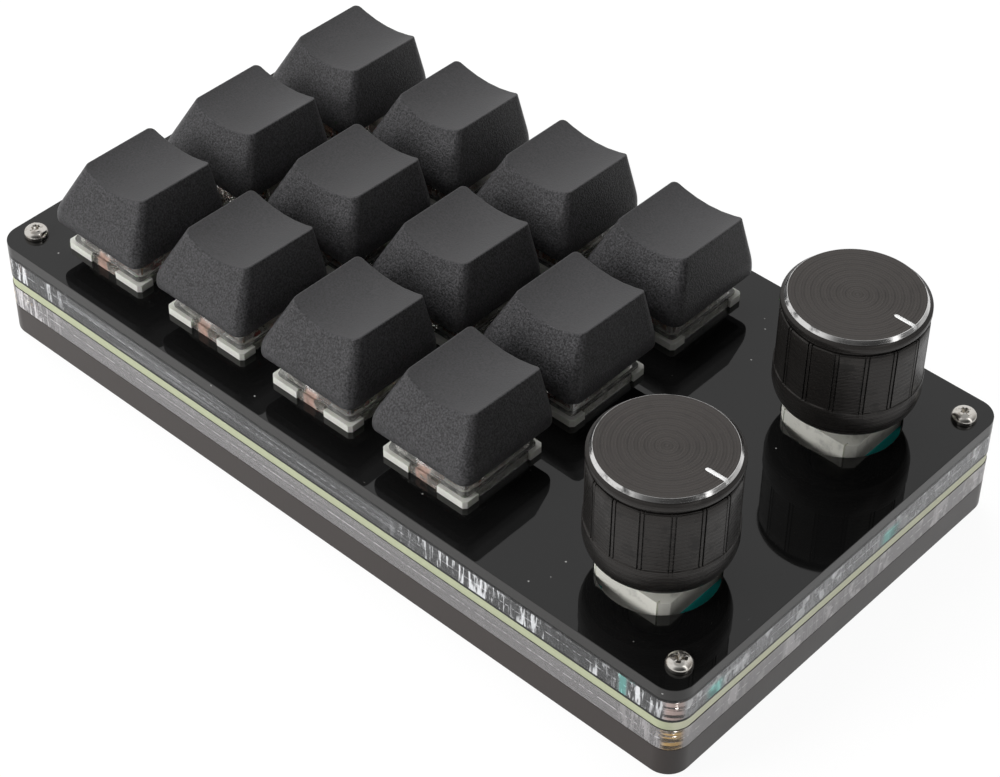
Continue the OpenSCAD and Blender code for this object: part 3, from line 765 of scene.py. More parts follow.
# The lower frame's thread tint paints the brass inserts seen through its rounded corners
ACRYLIC_LOW = ClearSheet(
    "acrylic_clear_low", (0.93, 0.93, 0.92), 0.03, haze=0.2, calm=(-54.0, 60.0), streaks=0.5, joint_shadow=0.0, foot=0.0,
    glint=8.2, bands=0.03, painted_teal_glints=0.0, frosted=(0.8, 0.77, 0.78), thread=(0.7, 0.44, 0.16),
)
HOUSING_CLEAR = ClearMoulding("housing_clear", (0.78, 0.77, 0.75), 0.02)
HOUSING_MILKY = MilkyMoulding("housing_milky", (0.84, 0.84, 0.78), 0.38)
BOARD = BoardLaminate("board_laminate", (0.48, 0.51, 0.34), 0.35)
LAMP = LampFinish("lamp_white", (0.82, 0.8, 0.72), 0.3)
COPPER = WorkedMetal("contact_copper", (0.83, 0.5, 0.38), 0.26, lay=Lay.LENGTHWISE, pitch=0.08)
SPRING = WorkedMetal("spring_steel", (0.62, 0.61, 0.58), 0.25, pitch=0.1)
NICKEL = WorkedMetal("screw_nickel", (0.78, 0.75, 0.7), 0.16, pitch=0.3, stain_and_dark_reflection=(0.3, 0.2, 0.12), stain_and_dark_reflection_share=0.4)
BRASS = WorkedMetal("insert_brass", (0.78, 0.56, 0.24), 0.24, pitch=0.2, stain_and_dark_reflection=(0.4, 0.22, 0.08), stain_and_dark_reflection_share=0.3)
PORT = WorkedMetal("port_steel", (0.62, 0.62, 0.61), 0.26, lay=Lay.LENGTHWISE, pitch=0.1)
TINNED = WorkedMetal(
    "bracket_tinned", (0.93, 0.92, 0.84), 0.42,
    pitch=0.5, depth=0.02, metallic=0.25, stain_and_dark_reflection=(0.35, 0.35, 0.32), stain_and_dark_reflection_share=0.4,
)
TERMINAL = WorkedMetal("terminal_tinned", (0.7, 0.7, 0.66), 0.24, pitch=0.2)
SHAFT = WorkedMetal("shaft_aluminium", (0.72, 0.72, 0.72), 0.3, pitch=0.1)
LINE = MouldedPlastic("line_white", (0.9, 0.9, 0.89), 0.45, grain=0.08, depth=0.004, drift=0.05, deep=0.95)


class DialPart(IntEnum):
    """The parts of a dial's skin, numbered as their finishes are."""

    SIDE = 0
    TOP = 1
    RING = 2


def dial_finishes(name: str, axis: Tuple[float, float]) -> List[WorkedMetal]:
    """The three finishes of a dial.

    Args:
        name: which dial.
        axis: where its axis stands, in millimetres.

    Returns:
        The finish of the side, of the flat top and of the cut ring, in the order of DialPart.
    """
    turned = {"lay": Lay.ROUND_THE_AXIS, "axis": axis}
    side = WorkedMetal(
        f"dial_side_{name}", (0.035, 0.032, 0.03), 0.28, **turned,
        pitch=0.27, depth=0.014, metallic=0.65, stretch=0.5, contrast=0.5, stain_and_dark_reflection=(0.012, 0.012, 0.012), stain_and_dark_reflection_share=0.4,
    )
    top = WorkedMetal(
        f"dial_top_{name}", (0.074, 0.067, 0.063), 0.3, **turned,
        pitch=0.42, depth=0.022, metallic=0.7, stretch=0.8, contrast=0.5, stain_and_dark_reflection=(0.03, 0.03, 0.03), stain_and_dark_reflection_share=0.15,
    )
    # The ring's dark stain patches are painted reflection: the dark gaps in its bright mirror
    ring = WorkedMetal(
        f"dial_ring_{name}", (0.86, 0.85, 0.84), 0.14, **turned,
        pitch=0.09, depth=0.002, stretch=0.4, stain_and_dark_reflection=(0.04, 0.04, 0.04), stain_and_dark_reflection_share=0.85,
    )
    return [side, top, ring]


# Meshes


def mesh_piece(
    name: str,
    points: np.ndarray,
    faces: List[List[int]],
    finishes: Sequence[Finish],
    tags: Optional[np.ndarray] = None,
    sharp: float = 38.0,
) -> bpy.types.Object:
    """Makes a smooth shaded object at the origin.

    Args:
        name: the piece's name.
        points: one row of X, Y and Z in millimetres for each vertex.
        faces: vertex numbers of each face.
        finishes: the finishes that the tags count.
        tags: which finish each face has.
        sharp: edges that turn by more than this many degrees stay crisp.

    Returns:
        The object.
    """
    mesh = bpy.data.meshes.new(name)
    mesh.from_pydata((points * MM).tolist(), [], faces)
    for finish in finishes:
        mesh.materials.append(finish.material())
    if tags is not None:
        mesh.polygons.foreach_set("material_index", tags.astype(np.int32))
    mesh.polygons.foreach_set("use_smooth", np.ones(len(faces), bool))
    mesh.set_sharp_from_angle(angle=math.radians(sharp))
    mesh.update()
    made = bpy.data.objects.new(name, mesh)
    bpy.context.scene.collection.objects.link(made)
    return made


def loft(
    rings: np.ndarray,
    first_pole: Optional[Sequence[float]] = None,
    last_pole: Optional[Sequence[float]] = None,
    wrap: bool = False,
) -> Tuple[np.ndarray, np.ndarray, np.ndarray]:
    """Skins a stack of closed rings with four sided faces.

    A face joins points j and j + 1 of ring i to the same points of ring i + 1. A pole closes an end with triangles.
    The volume by the divergence theorem says whether the faces point outwards, and they are turned round if not.

    Args:
        rings: the points, shaped rings by points by three.
        first_pole: the point that closes the first ring.
        last_pole: the point that closes the last ring.
        wrap: whether the last ring joins the first.

    Returns:
        The points, the faces with four numbers each, and the ring that each face starts from. A triangle
        repeats its last number.
    """
    count, around, _ = rings.shape
    points = rings.reshape(-1, 3)
    spans = count if wrap else count - 1
    i, j = np.meshgrid(np.arange(spans), np.arange(around), indexing="ij")
    k = (j + 1) % around
    n = (i + 1) % count
    quads = np.stack([i * around + j, i * around + k, n * around + k, n * around + j], -1).reshape(-1, 4)
    origin = i.ravel()
    step = np.arange(around)
    following = (step + 1) % around
    for pole, ring, number in ((first_pole, 0, 0), (last_pole, count - 1, spans)):
        if pole is None:
            continue
        points = np.vstack([points, pole])
        tip = np.full(around, len(points) - 1)
        a, b = ring * around + step, ring * around + following
        fan = np.stack([b, a, tip, tip], -1) if ring == 0 else np.stack([a, b, tip, tip], -1)
        quads = np.vstack([quads, fan])
        origin = np.concatenate([origin, np.full(around, number)])
    p = points[quads]
    volume = (np.cross(p[:, 1] - p[:, 0], p[:, 2] - p[:, 0]) * p[:, 0]).sum()
    volume += (np.cross(p[:, 2] - p[:, 0], p[:, 3] - p[:, 0]) * p[:, 0]).sum()
    if volume < 0:
        quads = np.where((quads[:, 2:3] == quads[:, 3:4]), quads[:, [1, 0, 2, 3]], quads[:, ::-1])
    return points, quads, origin


def face_lists(quads: np.ndarray) -> List[List[int]]:
    """Turns rows of four vertex numbers into lists, with three numbers where the last is a repeat."""
    closed = quads[:, 2] == quads[:, 3]
    return [row[:3] if short else row for row, short in zip(quads.tolist(), closed.tolist())]


def copies(points: np.ndarray, quads: np.ndarray, places: np.ndarray) -> Tuple[np.ndarray, np.ndarray]:
    """Repeats a mesh at several places.

    Args:
        points: the vertices.
        quads: the faces.
        places: one row of X, Y and Z for each copy.

    Returns:
        The points and faces of all the copies.
    """
    many = (points[None] + places[:, None]).reshape(-1, 3)
    shift = (np.arange(len(places)) * len(points))[:, None, None]
    return many, (quads[None] + shift).reshape(-1, quads.shape[1])


def curve_rows(start: np.ndarray, corner: np.ndarray, end: np.ndarray, steps: int) -> List[np.ndarray]:
    """Rings that round a corner.

    Each lies on the quadratic curve (1 - t) squared times start, plus 2 t (1 - t) times corner, plus t squared
    times end.

    Args:
        start: the ring before the corner.
        corner: the ring at the sharp corner.
        end: the ring after it.
        steps: how many spans the curve has.

    Returns:
        The rings from start to end, both included.
    """
    t = np.linspace(0, 1, steps + 1)[:, None, None]
    return list((1 - t) ** 2 * start + 2 * t * (1 - t) * corner + t**2 * end)


def circle(angles: np.ndarray, radius: Union[float, np.ndarray], height: float) -> np.ndarray:
    """Ring at a height: radius times the cosine and sine of each angle."""
    return np.stack([radius * np.cos(angles), radius * np.sin(angles), np.full(angles.shape, height)], -1)


def cross_radius(angles: np.ndarray, reach: float, half: float) -> np.ndarray:
    """Distance from the middle of a plus sign to its outline in each direction.

    A bar's outline lies at the lesser of its half length over the cosine and its half width over the sine, and the
    plus sign's at the greater of its two bars.

    Args:
        angles: the directions in radians.
        reach: half the length of each bar.
        half: half the width of each bar.

    Returns:
        The distances.
    """
    c, s = np.maximum(abs(np.cos(angles)), 1e-6), np.maximum(abs(np.sin(angles)), 1e-6)
    return np.maximum(np.minimum(reach / c, half / s), np.minimum(half / c, reach / s))


def eased(node: str, name: str, finish: Finish, width: float) -> bpy.types.Object:
    """Copies a CAD node's mesh, merges it and eases its edges with a bevel.

    Args:
        node: the CAD node that the copy stands for.
        name: the piece's name.
        finish: its finish.
        width: breadth of the eased edge in millimetres.

    Returns:
        The piece, not yet riding on a body.
    """
    mesh = bpy.data.objects[node].data.copy()
    mesh.name = name
    work = bmesh.new()
    work.from_mesh(mesh)
    bmesh.ops.remove_doubles(work, verts=work.verts, dist=MERGE_DISTANCE * MM)
    bmesh.ops.dissolve_limit(work, angle_limit=FLAT_ANGLE, verts=work.verts, edges=work.edges)
    work.to_mesh(mesh)
    work.free()
    mesh.materials.clear()
    mesh.materials.append(finish.material())
    mesh.polygons.foreach_set("use_smooth", np.ones(len(mesh.polygons), bool))
    mesh.polygons.foreach_set("material_index", np.zeros(len(mesh.polygons), np.int32))
    made = bpy.data.objects.new(name, mesh)
    bpy.context.scene.collection.objects.link(made)
    mesh.set_sharp_from_angle(angle=EDGE_ANGLE)
    if width > 0:
        bevel = made.modifiers.new("eased_edges", "BEVEL")
        bevel.width = width * MM
        bevel.segments = EDGE_STEPS
        bevel.limit_method = "ANGLE"
        bevel.angle_limit = EDGE_ANGLE
        bevel.use_clamp_overlap = True
        bevel.harden_normals = True
    return made


def settle(piece: bpy.types.Object, body: str, slot: str, *nodes: str) -> None:
    """Ties a piece to its body and hides the CAD nodes that it stands for.

    Args:
        piece: the finished piece.
        body: the CAD body that carries it.
        slot: the record's material slot, which is not used.
        nodes: the CAD nodes that it stands for.
    """
    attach(piece, body)
    if nodes:
        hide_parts(*nodes)
    log.info("%s on %s, %d faces", piece.name, body, len(piece.data.polygons))


def ease_all(*rows: Tuple[str, str, Finish, float, str]) -> None:
    """Eases CAD nodes that stand still, and settles the pieces.

    Args:
        rows: the CAD node, the piece's name, the finish, the breadth of the eased edges and the material slot.
    """
    for node, name, finish, width, slot in rows:
        settle(eased(node, name, finish, width), "root", slot, node)


def dress(node: str, finish: Finish) -> None:
    """Gives a CAD node that keeps its own mesh a finish.

    Args:
        node: the CAD node.
        finish: the finish.
    """
    for slot in bpy.data.objects[node].material_slots:
        slot.material = finish.material()
    log.info("%s dressed in %s", node, finish.name)


def middle(node: str) -> Tuple[float, float]:
    """Middle of a CAD node's box in plan, in millimetres."""
    low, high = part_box(node)
    return (low.x + high.x) / 2 / MM, (low.y + high.y) / 2 / MM


def corners(node: str, inset: float) -> List[Tuple[float, float]]:
    """Middles of the four like parts in the corners of a CAD node's box.

    Args:
        node: the CAD node.
        inset: half the breadth of one part, in millimetres.

    Returns:
        X and Y of each, in millimetres.
    """
    low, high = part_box(node)
    xs = (low.x / MM + inset, high.x / MM - inset)
    ys = (low.y / MM + inset, high.y / MM - inset)
    return [(x, y) for x in xs for y in ys]


# Keys


@dataclass
class SculptedCaps:
    """The twelve keycaps, each one closed skin from the dish round the rim to the socket post.

    Lift is the height of the lower edge above the plate. Foot, half_top, front_top and back_top are half sizes at
    the lower edge and at the top, and band is the height of the upright band at the foot, which the soft curve
    leaves. Wall and roof bound the hollow, and recess is how far the post ends above the lower edge. Rim, chamfer,
    cove, fillet and flare are the breadths of the rounded lower rim, of small bevels, of the hollow's upper corner,
    of the post's foot and of the socket's mouth. Spread holds the shares of the way out from the dish's middle, and
    fall those of the way down.
    """

    lift: float = 5.4
    foot: float = 9.05
    band: float = 1.7
    soft: float = 1.1
    height: float = 8.6
    half_top: float = 6.3
    front_top: float = 4.4
    back_top: float = 8.7
    dish: float = 1.2
    tilt: float = 1.5
    foot_round: float = 1.8
    top_round: float = 0.95
    wall: float = 1.25
    roof: float = 5.8
    edge: float = 0.2
    rim: float = 0.3
    chamfer: float = 0.15
    cove: float = 0.3
    fillet: float = 0.5
    post: float = 2.75
    recess: float = 1.1
    cross: Tuple[float, float] = (2.05, 0.65)
    flare: float = 0.12
    cross_depth: float = 3.8
    arc_steps: int = 9
    edge_steps: int = 5
    spread: Tuple[float, ...] = (0.12, 0.3, 0.5, 0.68, 0.82, 0.92, 0.97, 0.992)
    fall: Tuple[float, ...] = (0.015, 0.12, 0.3, 0.5, 0.7, 0.86)
    plan: Dict[str, np.ndarray] = field(default_factory=dict)

    def __post_init__(self) -> None:
        """Works out which corners and angles each column of the skin lies on."""
        angle, corner, share = [], [], []
        flat = np.concatenate([[0.02], np.linspace(0.1, 0.9, self.edge_steps), [0.98]])
        for q in range(4):
            angle += [np.linspace(90 * (q - 1), 90 * q, self.arc_steps), np.full(len(flat), 90.0 * q)]
            corner += [np.full(self.arc_steps + len(flat), q)]
            share += [np.zeros(self.arc_steps), flat]
        self.plan = {
            "angle": np.radians(np.concatenate(angle)),
            "corner": np.concatenate(corner),
            "share": np.concatenate(share),
        }

    def dish_height(self, x: np.ndarray, y: np.ndarray) -> np.ndarray:
        """Height of the dished top: a trough of one radius across X that falls with Y by the tilt."""
        radius = (self.half_top**2 + self.dish**2) / (2 * self.dish)
        return self.height - self.dish - y * math.tan(math.radians(self.tilt)) + radius - np.sqrt(radius**2 - x**2)

    def outline(self, z: Union[float, np.ndarray], inset: float = 0.0) -> np.ndarray:
        """Ring of the outer skin at a height, or at one height for each column.

        The half sizes go straight from the foot to the top above the band. Within the soft height of the band they
        follow a parabola that meets both straight runs. The corner radius goes along with them. A column between
        two corners lies on the line that joins their ends.

        Args:
            z: height above the lower edge in millimetres.
            inset: how far the ring lies inside the skin.

        Returns:
            The ring's points.
        """
        z = np.broadcast_to(np.asarray(z, float), self.plan["angle"].shape)
        past = z - self.band
        eased_past = np.clip(past + self.soft, 0, None) ** 2 / (4 * self.soft)
        rise = np.where(past > self.soft, past, eased_past) / (self.height - self.band)
        full = self.foot_round + (self.top_round - self.foot_round) * np.clip(rise, 0, 1)
        radius = np.maximum(full - inset, LEAST_ROUND)

        def at(corner: np.ndarray, angle: np.ndarray) -> np.ndarray:
            """Points on the corners' arcs.

            Args:
                corner: the number of each column's corner.
                angle: the direction from the middle of its arc.

            Returns:
                The X and Y of each.
            """
            half = self.foot + (self.half_top - self.foot) * rise - inset
            front = self.foot + (self.front_top - self.foot) * rise - inset
            back = self.foot + (self.back_top - self.foot) * rise - inset
            x = np.where(corner < 2, half - radius, radius - half)
            y = np.where((corner == 1) | (corner == 2), back - radius, radius - front)
            return np.stack([x + radius * np.cos(angle), y + radius * np.sin(angle)], -1)

        corner, angle, share = self.plan["corner"], self.plan["angle"], self.plan["share"][:, None]
        flat = (1 - share) * at(corner, angle) + share * at((corner + 1) % 4, angle)
        return np.concatenate([flat, z[:, None]], -1)

    def skin(self) -> Tuple[np.ndarray, np.ndarray]:
        """The whole skin of a keycap that stands on the middle of its key.

        Rings go from the dish out to its edge, round that edge, down the sides, round the rim, up inside to the
        roof, in to the post, down it, and up the walls of its cross shaped socket.

        Returns:
            The points and the faces.
        """
        ring = self.outline(np.full(self.plan["angle"].shape, self.height))
        for _ in range(4):
            ring = self.outline(self.dish_height(ring[:, 0], ring[:, 1]))
        inner = self.outline(ring[:, 2], self.edge)
        inner[:, 2] = self.dish_height(inner[:, 0], inner[:, 1])
        below = self.outline(ring[:, 2] - 1.1 * self.edge)
        centre = np.array([0.0, (self.back_top - self.front_top) / 2])
        rows: List[np.ndarray] = []
        for share in self.spread:
            flat = centre + (inner[:, :2] - centre) * share
            rows.append(np.column_stack([flat, self.dish_height(flat[:, 0], flat[:, 1])]))
        rows += curve_rows(inner, ring, below, 5)
        knee = self.band + self.soft
        for share in self.fall:
            rows.append(self.outline(below[:, 2] * (1 - share) + knee * share))
        rows += [self.outline(z) for z in np.linspace(knee, self.band - self.soft, 7)]
        rows += curve_rows(self.outline(self.rim), self.outline(0.0), self.outline(0.0, self.rim - 0.04), 3)
        rows += [self.outline(0.0, self.wall - 0.1), self.outline(self.chamfer, self.wall)]
        rows.append(self.outline(self.roof - self.cove, self.wall))
        around = np.arctan2(rows[-1][:, 1], rows[-1][:, 0])
        rows.append(self.outline(self.roof, self.wall + self.cove))
        depth, edge = self.recess + self.cross_depth, self.recess + self.chamfer
        slot = cross_radius(around, *self.cross)
        mouth = cross_radius(around, *(size + self.flare for size in self.cross))
        for radius, height in (
            (self.post + self.fillet, self.roof), (self.post, self.roof - self.fillet), (self.post, edge),
            (self.post - self.chamfer, self.recess), (mouth, self.recess), (slot, edge), (slot, depth),
        ):
            rows.append(circle(around, radius, height))
        low = [0.0, centre[1], float(self.dish_height(np.zeros(1), centre[1:2])[0])]
        return loft(np.array(rows), low, [0.0, 0.0, depth])[:2]

    def build(self) -> None:
        """Places a keycap on every key."""
        points, quads = self.skin()
        faces = face_lists(quads)
        for key in KEYS:
            place = np.array([*middle(f"keycap_{key}"), TOP_OF_PLATE + self.lift])
            piece = mesh_piece(f"sculpted_cap_{key}", points + place, faces, [CAP])
            settle(piece, f"key_{key}", "keycap_black", f"keycap_{key}")


@dataclass
class KeySprings:
    """The coil springs under the stems, of round wire with closed ends.

    Radius is that of the coil and wire that of the wire. Closed counts the flat part turns at each end, each of
    which climbs by the share creep.
    """

    radius: float = 2.0
    wire: float = 0.15
    low: float = 12.95
    high: float = 21.7
    turns: float = 6.5
    closed: float = 0.75
    creep: float = 0.05
    travel: float = 4.0
    sides: int = 8
    steps: int = 26

    def skin(self) -> Tuple[np.ndarray, np.ndarray]:
        """Round wire along a helix.

        The helix turns evenly. Its height is the sum of three straight rises held flat outside their stretch: a
        slight one over each closed end, and the rest in between. A circle across the wire stands on the radial and
        the upright direction.

        Returns:
            The points and the faces.
        """
        share = np.linspace(0, 1, int(self.turns * self.steps) + 1)
        angle = 2 * math.pi * self.turns * share
        flat = self.closed / self.turns
        climb = (1 - 2 * self.creep) * np.clip((share - flat) / (1 - 2 * flat), 0, 1)
        climb += self.creep * (np.clip(share / flat, 0, 1) + np.clip((share - 1 + flat) / flat, 0, 1))
        height = self.low + self.wire + (self.high - self.low - 2 * self.wire) * climb
        tube = np.linspace(0, 2 * math.pi, self.sides, endpoint=False)
        reach = self.radius + self.wire * np.cos(tube)[None]
        x = reach * np.cos(angle)[:, None]
        y = reach * np.sin(angle)[:, None]
        z = height[:, None] + self.wire * np.sin(tube)[None]
        rings = np.stack([x, y, np.broadcast_to(z, x.shape)], -1)
        return loft(rings, rings[0].mean(0), rings[-1].mean(0))[:2]

    def build(self) -> None:
        """Places a spring under every key."""
        points, quads = self.skin()
        faces = face_lists(quads)
        for key in KEYS:
            x, y = middle(f"stem_{key}")
            piece = mesh_piece(f"coil_{key}", points + np.array([x, y, 0.0]), faces, [SPRING], sharp=60)
            settle(piece, "root", "spring_steel", f"spring_{key}")
            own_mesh(piece)


@dataclass
class Switches:
    """Stems, housings, contacts, sockets and lamps."""

    def build(self) -> None:
        """Eases every part of the switches, and lets each stem ride with its key."""
        for key in KEYS:
            piece = eased(f"stem_{key}", f"slider_{key}", STEM, 0.12)
            settle(piece, f"key_{key}", "stem_red", f"stem_{key}")
        ease_all(
            ("switch_bottom_housings", "milky_housings", HOUSING_MILKY, 0.16, "housing_milky"),
            ("switch_top_housings", "clear_housings", HOUSING_CLEAR, 0.14, "housing_clear"),
            ("switch_contacts", "copper_contacts", COPPER, 0.04, "contact_copper"),
            ("switch_sockets", "pin_sockets", SOCKET, 0.1, "socket_black"),
            ("key_lights", "key_lamps", LAMP, 0.1, "lamp_white"),
        )


# Case


@dataclass
class CaseStack:
    """The layers of the case with their feet, screws and inserts.

    Board_half and board_corner are half the circuit board's length and width and its corner radius. Board_step is
    how far its cut side comes out towards the clear frames.
    """

    board_half: Tuple[float, float] = (64.875, 34.9)
    board_corner: float = 3.1
    board_step: float = 0.2

    def build(self) -> None:
        """Builds the layers, then the fasteners."""
        ease_all(
            ("top_plate", "gloss_plate", PLATE, 0.14, "plate_gloss"),
            ("upper_spacer", "clear_frame_upper", ACRYLIC, 0.07, "clear_acrylic"),
            ("lower_spacer", "clear_frame_lower", ACRYLIC_LOW, 0.07, "clear_acrylic"),
        )
        board = eased("circuit_board", "board", BOARD, 0.0)
        self.spread(board)
        settle(board, "root", "board_ivory", "circuit_board")
        ease_all(
            ("bottom_plate", "base_plate", BASE, 0.22, "base_brown"),
            ("rubber_feet", "round_feet", RUBBER, 0.2, "foot_rubber"),
            ("board_chips", "board_parts", CHIP, 0.06, "chip_black"),
            ("usb_port", "port_shell", PORT, 0.05, "port_steel"),
        )
        CornerScrews().build()
        KnurledInserts().build()

    def spread(self, board: bpy.types.Object) -> None:
        """Moves the board's outer side outwards and leaves its holes where they are.

        A point moves along the line from the nearest point of the box between the corners' centres, if it lies as
        far from there as the corner radius.

        Args:
            board: the board.
        """
        points = np.empty(3 * len(board.data.vertices))
        board.data.vertices.foreach_get("co", points)
        points = points.reshape(-1, 3) / MM
        reach = np.array(self.board_half) - self.board_corner
        away = points[:, :2] - np.clip(points[:, :2], -reach, reach)
        far = np.hypot(*away.T)
        move = np.where(far > self.board_corner - 0.05, self.board_step / np.maximum(far, 0.1), 0.0)
        points[:, :2] += move[:, None] * away
        board.data.vertices.foreach_set("co", (points * MM).ravel())
        board.data.update()


@dataclass
class CornerScrews:
    """Pan head screws with a tapered cross recess and a rolled thread.

    Head, shank and root are radii, crown is the head's height, brim that of its upright edge and bevel the edge's
    lower bevel. Each row of recess gives half the length and half the width of the cross and its depth under the
    crown. Turn is how far each cross is turned, in degrees.
    """

    head: float = 1.85
    crown: float = 1.4
    brim: float = 0.12
    bevel: float = 0.06
    shank: float = 0.99
    root: float = 0.77
    pitch: float = 0.5
    length: float = 14.0
    around: int = 72
    recess: Tuple[Point, ...] = ((0.38, 0.11, 0.85), (0.8, 0.22, 0.36), (1.0, 0.27, 0.04), (1.06, 0.31, 0.0))
    turn: Tuple[float, ...] = (20.0, -35.0, 62.0, 8.0)

    def skin(self, turn: float) -> Tuple[np.ndarray, np.ndarray]:
        """One screw that stands at the middle of its head's underside.

        The head's radius goes as a power of the sine of a lean that grows downwards, and its height as a power of
        the cosine, which makes a full ellipse. The thread's radius is the root plus a triangle wave of height over
        pitch less the angle over a turn, which makes a right hand helix.

        Args:
            turn: how far the cross is turned, in degrees.

        Returns:
            The points and the faces.
        """
        angle = np.linspace(0, 2 * math.pi, self.around, endpoint=False)
        across = angle + math.radians(turn)
        rows = [circle(angle, cross_radius(across, *arms), self.crown - deep) for *arms, deep in self.recess]
        for lean in np.radians(np.linspace(14, 90, 8)):
            height = self.brim + (self.crown - self.brim) * max(math.cos(lean), 0.0) ** 0.8
            rows.append(circle(angle, self.head * math.sin(lean) ** 0.75, height))
        foot = ((self.head, self.bevel), (self.head - self.bevel, 0.0), (self.shank, 0.0))
        rows += [circle(angle, radius, height) for radius, height in foot]
        height = np.arange(-0.3, -self.length + 0.35, -self.pitch / 8)
        wave = height[:, None] / self.pitch - angle[None] / (2 * math.pi)
        tooth = abs(2 * (wave - np.floor(wave + 0.5)))
        radius = self.root + (self.shank - self.root) * np.clip(1.25 * tooth, 0, 1)
        rows += [circle(angle, r, z) for r, z in zip(radius, height)]
        rows.append(circle(angle, 0.5, -self.length))
        return loft(np.array(rows), [0, 0, self.crown - 0.87], [0, 0, -self.length])[:2]

    def build(self) -> None:
        """Places the four screws as one piece."""
        parts, faces, start = [], [], 0
        for turn, place in zip(self.turn, corners("case_screws", self.head)):
            points, quads = self.skin(turn)
            parts.append(points + np.array([*place, TOP_OF_PLATE]))
            faces += face_lists(quads + start)
            start += len(points)
        piece = mesh_piece("corner_screws", np.vstack(parts), faces, [NICKEL], sharp=50)
        settle(piece, "root", "screw_nickel", "case_screws")


@dataclass
class KnurledInserts:
    """Brass inserts with a crossed knurl above and below a turned waist.

    Outer and bore are radii, and mouth is the bevel at the bore's upper end. Knurls counts the waves round an
    insert, and slant turns them along its length. The waist is twice waist_half long.
    """

    top: float = 6.2
    length: float = 3.2
    outer: float = 1.8
    bore: float = 1.05
    mouth: float = 0.15
    knurls: int = 12
    slant: float = 4.2
    knurl_depth: float = 0.1
    waist_half: float = 0.3
    waist_depth: float = 0.22
    around: int = 72
    rows: int = 30

    def build(self) -> None:
        """Builds the four inserts as one piece.

        The outer radius drops by the knurl's depth times one less the lesser of two opposed helical waves, which
        leaves small diamonds. In the middle of the length it drops by the waist's depth instead.
        """
        angle = np.linspace(0, 2 * math.pi, self.around, endpoint=False)
        z = np.linspace(0, self.length, self.rows)
        waves = [abs(np.sin(self.knurls * angle[None] + side * self.slant * z[:, None])) for side in (-1, 1)]
        waist = (abs(z - self.length / 2) < self.waist_half)[:, None]
        radius = self.outer - np.where(waist, self.waist_depth, self.knurl_depth * (1 - np.minimum(*waves)))
        rings = [circle(angle, r, h) for r, h in zip(radius, z)]
        rings += [circle(angle, self.bore + self.mouth, self.length)]
        rings += [circle(angle, self.bore, height) for height in (self.length - self.mouth, 0.0)]
        points, quads, _ = loft(np.array(rings), wrap=True)
        places = [(*place, self.top - self.length) for place in corners("case_inserts", self.outer)]
        points, quads = copies(points, quads, np.array(places))
        piece = mesh_piece("knurled_inserts", points, face_lists(quads), [BRASS], sharp=70)
        settle(piece, "root", "insert_brass", "case_inserts")


# Dials


